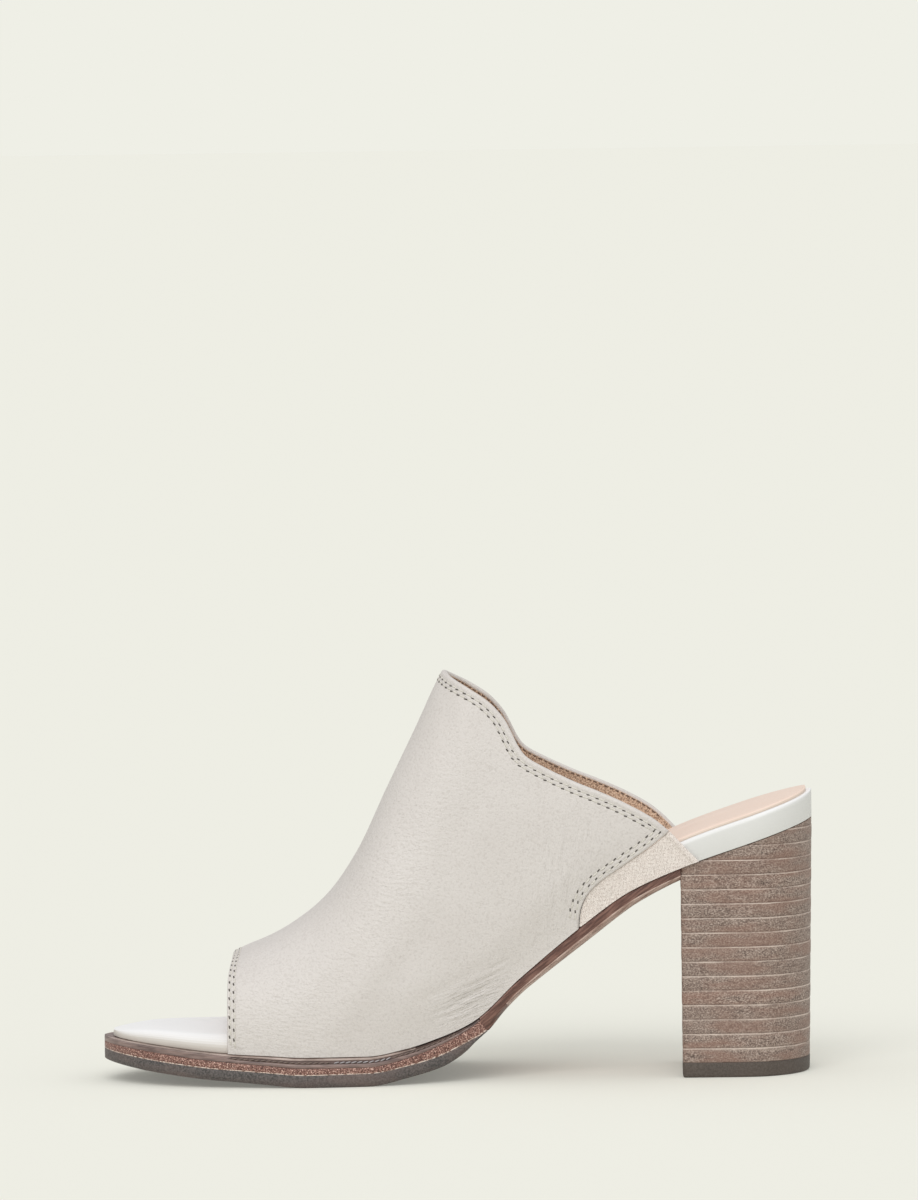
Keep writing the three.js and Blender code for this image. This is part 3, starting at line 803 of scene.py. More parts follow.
lining = lining_material()
elastic = elastic_material()
welt_smooth = welt_material("welt_smooth", srgb(152, 130, 123), srgb(98, 81, 77))
welt_bead = welt_material("welt_bead", srgb(198, 181, 172), srgb(138, 119, 110))
welt_groove = welt_material("welt_groove", srgb(112, 90, 82), srgb(62, 48, 44), 0.6)
grain_edge = grain_edge_material()
waist_edge = waist_edge_material()
sole_bevel = bevel_material()
pale_seam = pale_line_material()
sole_rubber = rubber_material("sole_rubber", srgb(104, 98, 96), srgb(64, 61, 60), srgb(128, 106, 100))
heel_rubber = rubber_material("heel_rubber", srgb(92, 84, 78), srgb(70, 63, 57), srgb(98, 85, 77))
heel_leather = heel_material()
thread = thread_material()
welt_thread = speckled_material("welt_thread", srgb(190, 184, 186), 0.6)
stained_thread = speckled_material("stained_thread", srgb(134, 116, 106), 0.6)
# Painted shade: the dark colour of the needle holes.
needle_hole_shade = speckled_material("needle_hole_shade", srgb(104, 98, 92), 0.9)
sock_edge = soft_leather("sock_edge", srgb(236, 222, 210), srgb(214, 194, 178), 0.7)
brown_stitch = speckled_material("brown_stitch", srgb(126, 106, 94), 0.8)


def upper_face(x, turn):
    """The upper's face, for a turn from 0 at the medial foot line to pi at the lateral one."""
    side, up = np.cos(turn), np.sin(turn)
    base = last.sole(x) + GAP
    power = 2 / ridge.roundness(x)
    rise = (ridge.top(x) - base) * np.abs(up) ** power
    medial = side > 0
    width = np.where(medial, last.medial(x), last.lateral(x))
    bulge = np.where(medial, last.medial_bulge(x), last.lateral_bulge(x)) * smooth(rise / BULGE_RISE)
    reach = width * (1 + bulge) * np.abs(side) ** power
    dip = THROAT_DIP * up**8 * (1 - smooth((x - THROAT_FRONT) / THROAT_BLEND))
    across = np.where(medial, -reach, reach) + ridge.side(x) * up * up
    return np.stack(np.broadcast_arrays(x + dip, across, base + rise), -1)


def unit(v):
    return v / np.maximum(np.linalg.norm(v, axis=-1, keepdims=True), 1e-9)


def upper_slopes(x, turn):
    """How the face moves per millimetre of x and per radian of turn."""
    reach, step = 0.3, 0.006
    low, high = np.clip(turn - step, 1e-4, math.pi), np.clip(turn + step, 0, math.pi - 1e-4)
    along = (upper_face(x + reach, turn) - upper_face(x - reach, turn)) / (2 * reach)
    across = (upper_face(x, high) - upper_face(x, low)) / (high - low)[..., None]
    return along, across


def upper_normal(x, turn):
    along, across = upper_slopes(x, turn)
    return unit(np.cross(along, across))


def rear_x(z):
    """The rear edge's place at a height, on the straight line from its corner to its foot."""
    fall = (REAR_CORNER[1] - z) / (REAR_CORNER[1] - REAR_FOOT[1])
    return mix(REAR_CORNER[0], REAR_FOOT[0], fall)


def edge_excess(x, turn):
    """Above 0 where the face at x lies past the leather's collar or its rear edge."""
    place = upper_face(x, turn)
    level = place[..., 2] - COLLAR_TILT * place[..., 1]
    over_collar = level - np.interp(place[..., 0], collar_line[:, 0], collar_line[:, 1])
    past_rear = place[..., 0] - rear_x(level)
    return np.maximum(np.where(place[..., 0] > COLLAR[0][0], over_collar, -1), past_rear)


def edge_x(turns):
    """Where each turn's line first meets the collar or the rear edge, by halving."""
    xs = np.linspace(-20, 84, 1000)
    grid = edge_excess(xs[None, :], turns[:, None]) > 0
    first = np.argmax(grid, axis=1)
    low, high = xs[np.maximum(first - 1, 0)], xs[first]
    for _ in range(24):
        half = (low + high) / 2
        past = edge_excess(half, turns) > 0
        low, high = np.where(past, low, half), np.where(past, half, high)
    return (low + high) / 2


def corner_turn(side):
    """The turn of the line that runs through the rear corner on one side."""
    low, high = (0.05, 1.5) if side < 0 else (math.pi - 0.05, math.pi - 1.5)
    for _ in range(50):
        half = (low + high) / 2
        place = upper_face(np.array(REAR_CORNER[0], float), np.array(half))
        below = place[2] < REAR_CORNER[1] + COLLAR_TILT * place[1]
        low, high = (half, high) if below else (low, half)
    return (low + high) / 2


medial_corner = corner_turn(-1)
lateral_corner = corner_turn(1)

# The rim of every leather edge, as (distance from the edge, depth under the face).
RIM = ((0.9, 2.0), (0.5, 1.93), (0.16, 1.62), (0.0, 1.0), (0.12, 0.42), (0.42, 0.09), (1.0, 0.0))

# Creases in the leather on the medial side, in side view: from (x, z) over a bend to (x, z),
# then the depth and the width in millimetres.
CREASES = (
    ((-9, 20.4), (0, 22.4), (10, 28.5), 0.28, 0.8),
    ((-7, 23.4), (1, 26.0), (12, 32.0), 0.42, 0.8),
    ((-2, 26.8), (5, 29.0), (14, 34.5), 0.40, 0.8),
    ((2, 31.0), (8, 32.6), (15, 37.0), 0.32, 0.8),
    ((8, 36.5), (12, 36.9), (17, 40.5), 0.26, 0.8),
    ((-14, 27.0), (-4, 30.5), (8, 38.5), 0.20, 1.6),
    ((27, 50.0), (28, 62.0), (25, 72.0), 0.30, 1.0),
    ((31, 52.0), (33, 62.0), (31, 74.0), 0.34, 1.0),
    ((35, 53.0), (36.5, 60.0), (36, 70.0), 0.30, 0.9),
    ((29, 64.0), (30, 76.0), (28, 88.0), 0.22, 1.0),
    ((34, 66.0), (35.5, 76.0), (35, 86.0), 0.22, 1.0),
    ((22, 46.0), (23, 56.0), (19, 68.0), 0.26, 1.3),
    ((16, 42.0), (17, 52.0), (12, 62.0), 0.18, 1.6),
)
# Broad soft swells, the same way.
SWELLS = (
    ((-50, 18), (-40, 34), (-22, 56), 0.7, 7.0),
    ((-34, 16), (-22, 34), (-4, 58), 0.6, 7.0),
    ((-60, 26), (-54, 38), (-44, 50), 0.5, 6.0),
    ((-8, 60), (0, 84), (10, 104), 0.6, 8.0),
)


def trough(points, start, bend, end, depth, width, steps=24):
    """A soft trough along a curve in side view, fading towards its ends."""
    t = np.linspace(0, 1, steps + 1)[:, None]
    curve = (1 - t) ** 2 * np.array(start) + 2 * t * (1 - t) * np.array(bend) + t * t * np.array(end)
    flat = points[..., [0, 2]]
    gap = np.linalg.norm(flat[..., None, :] - curve, axis=-1)
    nearest = np.argmin(gap, axis=-1)
    distance = np.min(gap, axis=-1)
    fade = np.sin(math.pi * clamp01(0.06 + 0.88 * nearest / steps)) ** 0.7
    shape = (1 - 0.45 * (distance / width) ** 2) * np.exp(-((distance / width) ** 2))
    return -depth * fade * shape


def relief(points):
    """How far the leather's face stands out at each point."""
    flat = points.reshape(-1, 3)
    total = np.zeros(len(flat))
    for on_side, shapes, share in ((flat[:, 1] < 0, CREASES + SWELLS, 1.0), (flat[:, 1] > 0, SWELLS, 0.8)):
        for shape in shapes:
            total[on_side] += share * trough(flat[on_side], *shape)
    return total.reshape(points.shape[:-1])


def line_distance(points, line, pitch=0.08):
    """How far each point lies from a line through 3-D points."""
    run = run_along(line)
    at = np.arange(0, run[-1] + pitch, pitch)
    tree = KDTree(len(at))
    for index, place in enumerate(places_on(line, run, at)):
        tree.insert(place, index)
    tree.balance()
    flat = points.reshape(-1, 3).tolist()
    return np.array([tree.find(place)[2] for place in flat]).reshape(points.shape[:-1])


def seam_relief(distance, rows):
    """The leather puffs up along an edge and is drawn in at its stitch rows."""
    total = 0.14 * np.exp(-(((distance - rows[0] * 0.45) / 0.7) ** 2))
    total += 0.07 * np.exp(-(((distance - (rows[0] + rows[1]) / 2) / 0.4) ** 2))
    for row in rows:
        total -= 0.16 * np.exp(-(((distance - row) / 0.34) ** 2))
    return total


def resample(xs, turns, count):
    """Evenly spaced places along a path on the face, its ends included."""
    run = run_along(upper_face(xs, turns))
    at = np.linspace(0, run[-1], count)
    return np.interp(at, run, xs), np.interp(at, run, turns)


def turn_at(x, z, side):
    """The turn of the face's point at that x and height, on one side of the ridge."""
    base = last.sole(x) + GAP
    share = np.clip((z - base) / (ridge.top(x) - base), 0, 1)
    turn = np.arcsin(share ** (ridge.roundness(x) / 2))
    return turn if side < 0 else math.pi - turn


def rear_path(side, count):
    """The rear edge from its corner down to the foot line, as x and turn."""
    level = np.linspace(REAR_CORNER[1], REAR_FOOT[1] - 2, LINE_POINTS)
    x = rear_x(level)
    z = level + COLLAR_TILT * side * REAR_HALF_WIDTH
    for _ in range(3):
        turn = turn_at(x, z, side)
        z = level + COLLAR_TILT * upper_face(x, turn)[:, 1]
    kept = z > last.sole(x) + GAP
    x, turn = x[kept], turn[kept]
    turn[-1] = 0 if side < 0 else math.pi
    return resample(x, turn, count)


def gore_path(count):
    """The leather's edge along the gore, from the foot line up to the corner."""
    x = np.append(gore_line[::-1, 0], REAR_CORNER[0])
    z = np.append(gore_line[::-1, 1], REAR_CORNER[1] - COLLAR_TILT * REAR_HALF_WIDTH)
    kept = z > last.sole(x) + GAP
    turn = turn_at(x[kept], z[kept], -1)
    turn[0] = 0
    turn[-1] = medial_corner
    return resample(x[kept], turn, count)


def collar_path(first, final, count, samples=500):
    """The collar's edge between two turns, as x and turn."""
    turns = np.linspace(first, final, samples)
    return resample(edge_x(turns), turns, count)


def wall_stations(line_x, line_turn, back_edge, front_steps, back_steps, middle):
    """Places along each line, as shares of it: at given distances from its start, evenly between, and
    at given distances from the edge behind it."""
    points = upper_face(line_x, line_turn)
    run = run_along(points)
    gap = line_distance(points, back_edge)
    gap = np.maximum.accumulate(gap[:, ::-1], axis=1)
    share = np.linspace(0, 1, line_x.shape[1])
    places = []
    for j in range(len(line_x)):
        front = np.interp(front_steps, run[j], share)
        back = np.interp(back_steps, gap[j] - gap[j][0], 1 - share)
        front = np.minimum(front, 0.45)
        back = np.maximum(back, 0.55)
        between = np.linspace(front.max(), back.min(), middle + 2)[1:-1]
        places.append(np.concatenate([front, between, back]))
    return np.array(places), share


def wall_piece(name, line_x, line_turn, back_edge, rims, dense, counts, depth, materials, lined, puff):
    """A hollow wall over the upper's face. Its lines run from the front edge to the back one, where
    each rim gives (distance from the edge, depth under the face); dense is how far from an edge the
    close stations go; counts is (between the edges, on the inside); depth is how far the two skins lie
    under the upper's face; puff gives the relief of the outer one."""
    front_rim, back_rim = rims
    near = np.arange(1.4, dense, 0.42)
    outer, thick = depth[0], depth[1] - depth[0]
    front_steps = np.array([d for d, _ in front_rim] + list(near))
    back_steps = np.array(list(near[::-1]) + [d for d, _ in back_rim[::-1]])
    places, share = wall_stations(line_x, line_turn, back_edge, front_steps, back_steps, counts[0])
    level_count = 2 * len(near) + counts[0]
    sink = [h for _, h in front_rim] + [0.0] * level_count + [h for _, h in back_rim[::-1]]
    outer_count = places.shape[1]
    inside = np.linspace(1, 0, counts[1] + 2)[1:-1]
    inner = places[:, :1] + (places[:, -1:] - places[:, :1]) * inside
    places = np.concatenate([places, inner], axis=1)
    sink = np.array(sink + [WALL] * counts[1]) * thick / WALL + outer
    xs = np.stack([np.interp(row, share, line_x[j]) for j, row in enumerate(places)])
    turns = np.stack([np.interp(row, share, line_turn[j]) for j, row in enumerate(places)])
    face = upper_face(xs, turns)
    lift = puff(face) * clamp01(1 - (sink - outer) / 0.8)
    points = face + upper_normal(xs, turns) * (lift - sink)[..., None]
    lines, size = xs.shape
    faces = ring_faces(lines, size, flip=True, caps=False)
    slots = [int(lined and i >= outer_count - 1) for i in range(size)] * (lines - 1)
    for row, reverse in ((0, True), (lines - 1, False)):
        strip = edge_strip(row * size, places[row, :outer_count], places[row, outer_count:], reverse)
        faces += strip
        slots += [0] * len(strip)
    return make_mesh(name, points.reshape(-1, 3), faces, materials, slots, 50), points


def fan(fronts, backs, samples=260):
    """Lines on the face from each front place to its back place, both as x and turn."""
    share = np.linspace(0, 1, samples)
    x = fronts[0][:, None] + (backs[0] - fronts[0])[:, None] * share
    turn = fronts[1][:, None] + (backs[1] - fronts[1])[:, None] * share
    return x, turn


# Lines from the throat to the edges behind, as (lines, first and last share of the throat's arc
# where they start), for the gore's edge, the collar's two halves and the lateral rear edge.
FAN = ((90, 0.0, 0.30), (180, 0.30, 0.5), (100, 0.5, 0.93), (24, 0.93, 1.0))
RIDGE_TURN = math.pi / 2
THROAT_POINTS = 800
parts = [
    gore_path(FAN[0][0] + 1),
    collar_path(medial_corner, RIDGE_TURN, FAN[1][0] + 1),
    collar_path(RIDGE_TURN, lateral_corner, FAN[2][0] + 1),
    rear_path(1, FAN[3][0] + 1),
]
throat_turns = np.linspace(0, math.pi, THROAT_POINTS)
throat_x = np.full(THROAT_POINTS, float(THROAT_FRONT))
throat_run = run_along(upper_face(throat_x, throat_turns))
throat_run /= throat_run[-1]
backs = [np.concatenate([part[k][:-1] for part in parts] + [parts[-1][k][-1:]]) for k in (0, 1)]
starts = [np.linspace(first, final, count + 1)[:-1] for count, first, final in FAN] + [[1.0]]
front_turn = np.interp(np.concatenate(starts), throat_run, throat_turns)
fronts = (np.full(len(front_turn), float(THROAT_FRONT)), front_turn)
gore_edge = upper_face(*parts[0])
collar_edge = np.concatenate([upper_face(*parts[1]), upper_face(*parts[2])[1:]])
rear_edge = upper_face(*parts[3])
throat_edge = upper_face(throat_x, throat_turns)
back_edge = upper_face(*backs)
EDGES = (
    (collar_edge, COLLAR_ROWS), (throat_edge, THROAT_ROWS), (gore_edge, GORE_ROWS), (rear_edge, GORE_ROWS),
)


def vamp_relief(face):
    """The creases, and the leather drawn in along each stitched edge."""
    return relief(face) + sum(seam_relief(line_distance(face, edge), rows) for edge, rows in EDGES)


vamp, _ = wall_piece(
    "vamp", *fan(fronts, backs), back_edge, rims=(RIM, RIM), dense=5.0, counts=(126, 30),
    depth=(0.0, WALL), materials=[vamp_leather, lining], lined=True, puff=vamp_relief,
)
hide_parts("upper")
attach(vamp, "root")

# The gore's lines run from its narrow front end to its rear edge, fanned between the foot line and
# the leather's edge.
GORE_LINES = 64
GORE_POINTS = 200
GORE_TUCK = 0.25
along = np.linspace(0.012, 1, GORE_POINTS)
top_x, top_turn = gore_path(GORE_POINTS)
rear_xs, rear_turns = rear_path(-1, GORE_LINES)
rear_xs, rear_turns = rear_xs[::-1], rear_turns[::-1]
across = np.linspace(0, 0.985, GORE_LINES)[:, None]
foot_x = mix(top_x[0], rear_xs[0], along)
top_share = np.linspace(0, 1, GORE_POINTS)
rear_share = np.linspace(0, 1, GORE_LINES)
gore_lines_x = mix(foot_x, np.interp(along, top_share, top_x), across) + GORE_TUCK
gore_lines_turn = np.interp(along, top_share, top_turn) * across
miss_x = np.interp(across[:, 0], rear_share, rear_xs) - gore_lines_x[:, -1]
miss_turn = np.interp(across[:, 0], rear_share, rear_turns) - gore_lines_turn[:, -1]
gore_lines_x += miss_x[:, None] * along
gore_lines_turn += miss_turn[:, None] * along
gore_rear = upper_face(rear_xs, rear_turns)


def gore_relief(face, hem_width=2.1, hem_thickness=0.42, hem_step=0.5):
    """The elastic is turned over and thicker along its rear edge."""
    return hem_thickness * smooth((hem_width - line_distance(face, gore_rear)) / hem_step)


SQUARE_RIM = ((0.0, 2.0), (0.02, 0.0))
gore, gore_points = wall_piece(
    "gore_elastic", gore_lines_x, gore_lines_turn, gore_rear, rims=(SQUARE_RIM, RIM), dense=2.9,
    counts=(60, 12), depth=(GORE_RECESS, WALL), materials=[elastic], lined=False, puff=gore_relief,
)
weave_axes = np.array([(0.70, 0.0, -0.714), (0.714, 0.0, 0.70)])
add_uvs(gore.data, gore_points.reshape(-1, 3) @ weave_axes.T)
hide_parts("gore")
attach(gore, "root")


def inset_path(xs, turns, distance, inward):
    """Moves a path on the upper's face sideways by a distance, towards the inward sign's side."""
    xs, turns = xs.copy(), turns.copy()
    for _ in range(4):
        points = upper_face(xs, turns)
        tangent = unit(np.gradient(points, axis=0))
        along, across = upper_slopes(xs, turns)
        normal = unit(np.cross(along, across))
        wanted = inward * np.cross(normal, tangent) * distance / 4
        aa = np.sum(along * along, -1)
        ab = np.sum(along * across, -1)
        bb = np.sum(across * across, -1)
        wa = np.sum(wanted * along, -1)
        wb = np.sum(wanted * across, -1)
        det = aa * bb - ab * ab
        xs += (wa * bb - wb * ab) / det
        turns += (wb * aa - wa * ab) / det
    return xs, turns


def path_frames(xs, turns, pitch, depth=0.0, margin=1.2):
    """Evenly spaced places along a path on the face: position, tangent and normal of each."""
    run = run_along(upper_face(xs, turns))
    count = max(2, int((run[-1] - 2 * margin) / pitch))
    at = margin + (run[-1] - 2 * margin - count * pitch) / 2 + pitch * (np.arange(count) + 0.5)
    px, pt = np.interp(at, run, xs), np.interp(at, run, turns)
    normal = upper_normal(px, pt)
    behind, ahead = (
        upper_face(np.interp(place, run, xs), np.interp(place, run, turns)) for place in (at - 0.3, at + 0.3)
    )
    return upper_face(px, pt) - normal * depth, unit(ahead - behind), normal


def bead_points(length, width, height, around=8, along=6):
    """A small capsule along X, as (points, faces)."""
    points = []
    for i in range(along + 1):
        t = i / along * 2 - 1
        radius = math.sqrt(max(0.0, 1 - abs(t) ** 3)) if 0 < i < along else 0.12
        for k in range(around):
            turn = 2 * math.pi * k / around
            across, up = math.cos(turn) * radius, math.sin(turn) * radius
            points.append((t * length / 2, across * width / 2, up * height / 2))
    return np.array(points), ring_faces(along + 1, around, flip=True)


def scatter_beads(name, frames, size, sink, material, shift=0.0, turned=0.0):
    """Small capsules laid on the surface at each place, as one piece."""
    shape, faces = bead_points(*size)
    all_points, all_faces = [], []
    for centre, tangent, normal in frames:
        across = np.cross(normal, tangent)
        along = tangent * math.cos(turned) + across * math.sin(turned)
        across = across * math.cos(turned) - tangent * math.sin(turned)
        for c, t, n, s in zip(centre, along, normal, across):
            offset = len(all_points) * len(shape)
            base = c + t * shift + n * sink
            all_points.append(base + shape[:, :1] * t + shape[:, 1:2] * s + shape[:, 2:] * n)
            all_faces.extend(tuple(v + offset for v in face) for face in faces)
    piece = make_mesh(name, np.concatenate(all_points), all_faces, [material], sharp=60)
    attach(piece, "root")
    return piece


collar_run = tuple(np.concatenate([parts[1][k], parts[2][k][1:]]) for k in (0, 1))
stitch_frames = []
for path, rows in ((collar_run, COLLAR_ROWS), (parts[0], GORE_ROWS), (parts[3], GORE_ROWS)):
    for row in rows:
        stitch_frames.append(path_frames(*inset_path(*path, row, 1), STITCH_PITCH, margin=row * 0.9))
for row in THROAT_ROWS:
    throat = inset_path(throat_x, throat_turns, row, -1)
    stitch_frames.append(path_frames(*throat, STITCH_PITCH, margin=0.8))
scatter_beads("stitches", stitch_frames, STITCH, -0.03, thread, turned=0.1)
# Dark capsules between the stitches are painted shade inside the needle holes.
scatter_beads(
    "needle_holes", stitch_frames, NEEDLE_HOLE, -0.06, needle_hole_shade,
    shift=STITCH_PITCH / 2, turned=0.2,
)

# On the inside, one row of brown stitches shows on the lining just under the collar.
inner_row = inset_path(*collar_run, LINING_ROW, 1)
centre, tangent, normal = path_frames(*inner_row, LINING_PITCH, depth=WALL, margin=0.5)
inner_frames = [(centre, tangent, -normal)]
scatter_beads("lining_stitches", inner_frames, LINING_STITCH, 0.0, brown_stitch)


def footbed_height(x, share):
    return GAP + footbed.thickness(x) + footbed.crown(x) * (1 - share * share)


bed_xs = layer_stations(FOOTBED_TOE, HEEL_BACK, pitch=2.0, round_toe=True, round_heel=True)
bed_rim = GAP + footbed.thickness(bed_xs)
bed_toe = smooth((-40 - bed_xs) / 30)
bed_round = mix(1.6, footbed.thickness(bed_xs) * 0.85, bed_toe)
bed_half = half_width(bed_xs, 1, -SEAM_INSET, FOOTBED_TOE, HEEL_BACK)
bed_inset = np.minimum(bed_round * mix(1.0, 1.5, bed_toe), bed_half * 0.24)
bed_rows = [(s, 0.0, footbed_height(bed_xs, s)) for s in (0.0, 0.2, 0.4, 0.6, 0.7)]
for a in np.linspace(0, math.pi / 2, 9):
    inset = bed_inset * (1 - math.sin(a))
    crown = footbed.crown(bed_xs) * (1 - (1 - inset / bed_half) ** 2)
    bed_rows.append((1.0, inset, bed_rim + crown - bed_round * (1 - math.cos(a))))
bed_rows += [(1.0, 0.0, GAP + 0.25), (1.0, 0.1, GAP), (0.5, 0, GAP)]
bed = layer_piece(
    "footbed_wrap", bed_xs, lambda x: -SEAM_INSET, FOOTBED_TOE, HEEL_BACK, bed_rows,
    [footbed_leather], sharp=60,
)
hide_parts("footbed")
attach(bed, "root")

sock_end = HEEL_BACK - SOCK_INSET
sock_xs = layer_stations(SOCK_FRONT, sock_end - 0.4, pitch=2.0, round_toe=False, round_heel=True)
sock_half = half_width(sock_xs, 1, -SEAM_INSET - SOCK_INSET, FOOTBED_TOE, sock_end)
sock_narrow = sock_half / half_width(sock_xs, 1, -SEAM_INSET, FOOTBED_TOE, HEEL_BACK)


def sock_base(share):
    return footbed_height(sock_xs, share * sock_narrow) + SOCK_LIFT


# The sock's rounded edge from its top to its foot, as (inset, height over the footbed).
SOCK_EDGE = (
    (1.0, SOCK_THICKNESS), (0.55, SOCK_THICKNESS - 0.12), (0.2, SOCK_THICKNESS - 0.42), (0.02, 0.55),
    (0.0, 0.3), (0.1, 0.0),
)
sock_rows = [(s, 0.0, sock_base(s) + SOCK_THICKNESS) for s in (0.0, 0.2, 0.4, 0.6, 0.75, 0.87)]
sock_rows += [(1.0, inset, sock_base(1.0) + height) for inset, height in SOCK_EDGE]
sock_rows.append((0.5, 0.0, sock_base(0.5)))
sock = layer_piece(
    "heel_sock_leather", sock_xs, lambda x: -SEAM_INSET - SOCK_INSET, FOOTBED_TOE, sock_end, sock_rows,
    [sock_leather, sock_edge], slot_of=[0] * 8 + [1] * 6, sharp=60,
)
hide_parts("heel_sock")
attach(sock, "root")

WELT_FULL = 2.2
WELT_TOE_SMOOTH = -76
WELT_GAP_SHADE_START = -16
# The welt's section from the upper outwards, as (inset, share of its depth): a pale bead, a stitched
# groove and a burnished ridge.
WELT_BEAD = ((3.4, 0.0), (2.75, 0.02), (2.45, 0.0), (2.1, 0.03))
WELT_GROOVE = (
    (1.9, 0.12), (1.88, 0.22), (1.9, 0.3), (1.7, 0.44), (1.25, 0.55), (0.85, 0.58), (0.5, 0.57),
    (0.22, 0.6), (0.05, 0.68),
)
WELT_RIDGE = ((0.0, 0.78), (0.0, 0.9), (0.06, 0.97), (0.25, 1.0))

fore_xs = layer_stations(TOE_TIP, WELT_STOP, pitch=2.0, round_toe=True, round_heel=False)
sole_end = HEEL_BACK + HEEL_LENGTH
welt_deep = np.maximum(layer.welt_end(fore_xs), RIM_MIN)
welt_thin = smooth(layer.welt_end(fore_xs) / WELT_FULL)
# The groove fades out towards the toe, and the bead sinks away where the upper lifts off behind.
welt_cut = mix(0.25, 1.0, smooth((fore_xs + 84) / 12))
bead_sink = 0.7 * smooth((fore_xs + 24) / 14)


def welt_row(inset, depth_share, cut=1.0, sink=0.0):
    """One row of the welt's section, its depth scaled by cut and lowered by sink."""
    return (1.0, inset * welt_thin + 0.02, -welt_deep * depth_share * cut - sink)


welt_rows = [(0.6, 0.0, 0.0)]
welt_rows += [welt_row(*place, sink=bead_sink) for place in WELT_BEAD]
welt_rows += [welt_row(*place, cut=welt_cut) for place in WELT_GROOVE]
welt_rows += [welt_row(*place) for place in WELT_RIDGE]
welt_rows.append((0.5, 0.0, -welt_deep))
SMOOTH, BEAD, GROOVE = range(3)
welt = layer_piece(
    "welt_strip", fore_xs, layer.ledge, TOE_TIP, sole_end, welt_rows,
    [welt_smooth, welt_bead, welt_groove], slot_of=[BEAD] * 6 + [GROOVE] * 5 + [SMOOTH] * 8,
)


def face_stations(piece, xs, rows):
    """Each face of a layer with the station at its front, the two end faces left out."""
    for polygon in piece.data.polygons:
        ring = polygon.index // (2 * len(rows))
        if ring < len(xs) - 1:
            yield polygon, xs[ring]


# At the toe the groove is burnished like the rest, and behind, the bead takes the groove's dark colour as
# painted shade of the gap under the upper.
for polygon, station in face_stations(welt, fore_xs, welt_rows):
    if station < WELT_TOE_SMOOTH and polygon.material_index == GROOVE:
        polygon.material_index = SMOOTH
    if station > WELT_GAP_SHADE_START and polygon.material_index == BEAD:
        polygon.material_index = GROOVE
for end_face in welt.data.polygons[-2:]:
    end_face.material_index = GROOVE
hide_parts("welt")
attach(welt, "root")


def scarf(x):
    """How far the rubber has thinned out towards its end at the waist."""
    return smooth((x - RUBBER_SCARF_START) / (WELT_STOP - RUBBER_SCARF_START))


def rubber_top(x):
    return -mix(layer.leather_end(x) + 0.06, layer.rubber_end(x) - RIM_MIN, scarf(x))


all_xs = np.concatenate([fore_xs, np.linspace(WELT_STOP + 0.4, BREAST_LATERAL + 1, 60)])
under_welt = all_xs <= WELT_STOP
leather_top = np.where(under_welt, -np.maximum(layer.welt_end(all_xs), RIM_MIN) - 0.05, 0.0)
waist_share = np.where(under_welt, 0.0, smooth((all_xs - WELT_STOP) / 6))
under_rubber = rubber_top(all_xs) + 0.05
side_end = np.where(under_welt, under_rubber, -layer.leather_end(all_xs))
sole_bottom = np.where(under_welt, under_rubber, -layer.rubber_end(all_xs))
side_deep = leather_top - side_end
bevel = BEVEL_WIDTH * waist_share
# The sole's side as (inset, share of its depth), then its bevel as (inset, share of the bevel's width,
# share of the fall from the side's end to the bottom).
SOLE_SIDE = (
    (0.3, 0.0), (0.1, 0.04), (0.0, 0.14), (-0.05, 0.3), (-0.06, 0.5), (-0.04, 0.7), (0.0, 0.84),
    (0.02, 0.88), (0.1, 1.0),
)
SOLE_BEVEL = ((0.12, 0.12, 0.16), (0.14, 0.3, 0.45), (0.16, 0.6, 0.8), (0.2, 1.0, 1.0))
leather_rows = [(0.6, 0.0, leather_top)]
leather_rows += [(1.0, inset, leather_top - side_deep * share) for inset, share in SOLE_SIDE]
leather_rows += [
    (1.0, inset + bevel * share, mix(side_end, sole_bottom, fall)) for inset, share, fall in SOLE_BEVEL
]
leather_rows.append((0.4, 0.0, sole_bottom))
GRAIN, PALE, BEVEL, WAIST = range(4)
sole = layer_piece(
    "leather_sole_edge", all_xs, layer.ledge, TOE_TIP, sole_end, leather_rows,
    [grain_edge, pale_seam, sole_bevel, waist_edge], slot_of=[GRAIN] * 8 + [PALE] + [BEVEL] * 6, sharp=50,
)
# Behind the rubber the side is burnished, and the pale line gives way to the bevel.
for polygon, station in face_stations(sole, all_xs, leather_rows):
    if station > WELT_STOP - 1:
        pale = station > BEVEL_PALE_START and polygon.material_index != GRAIN
        polygon.material_index = BEVEL if pale else WAIST
across_breast = last.lateral(BREAST_LATERAL) + last.medial(BREAST_MEDIAL)
slant = (BREAST_LATERAL - BREAST_MEDIAL) / across_breast
trim(sole, ((BREAST_LATERAL + BREAST_MEDIAL) / 2 - BREAST_GAP, 0, 0), (1, -slant, 0))
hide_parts("leather_sole")
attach(sole, "root")

rubber_low = -layer.rubber_end(fore_xs)
rubber_high = rubber_top(fore_xs)
rubber_deep = rubber_high - rubber_low
# The rubber's side, rounded at the bottom, as (inset, share of its depth).
RUBBER_SIDE = (
    (0.25, 0.0), (0.08, 0.05), (0.02, 0.14), (0.02, 0.4), (0.02, 0.62), (0.12, 0.68), (0.4, 0.83),
    (0.85, 0.94), (1.5, 1.0),
)
rubber_rows = [(0.6, 0.0, rubber_high)]
rubber_rows += [(1.0, inset, rubber_high - rubber_deep * share) for inset, share in RUBBER_SIDE]
rubber_rows.append((0.5, 0.0, rubber_low))
rubber = layer_piece(
    "rubber_half_sole", fore_xs, layer.ledge, TOE_TIP, sole_end, rubber_rows, [sole_rubber], sharp=50,
)
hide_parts("rubber_forepart")
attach(rubber, "root")


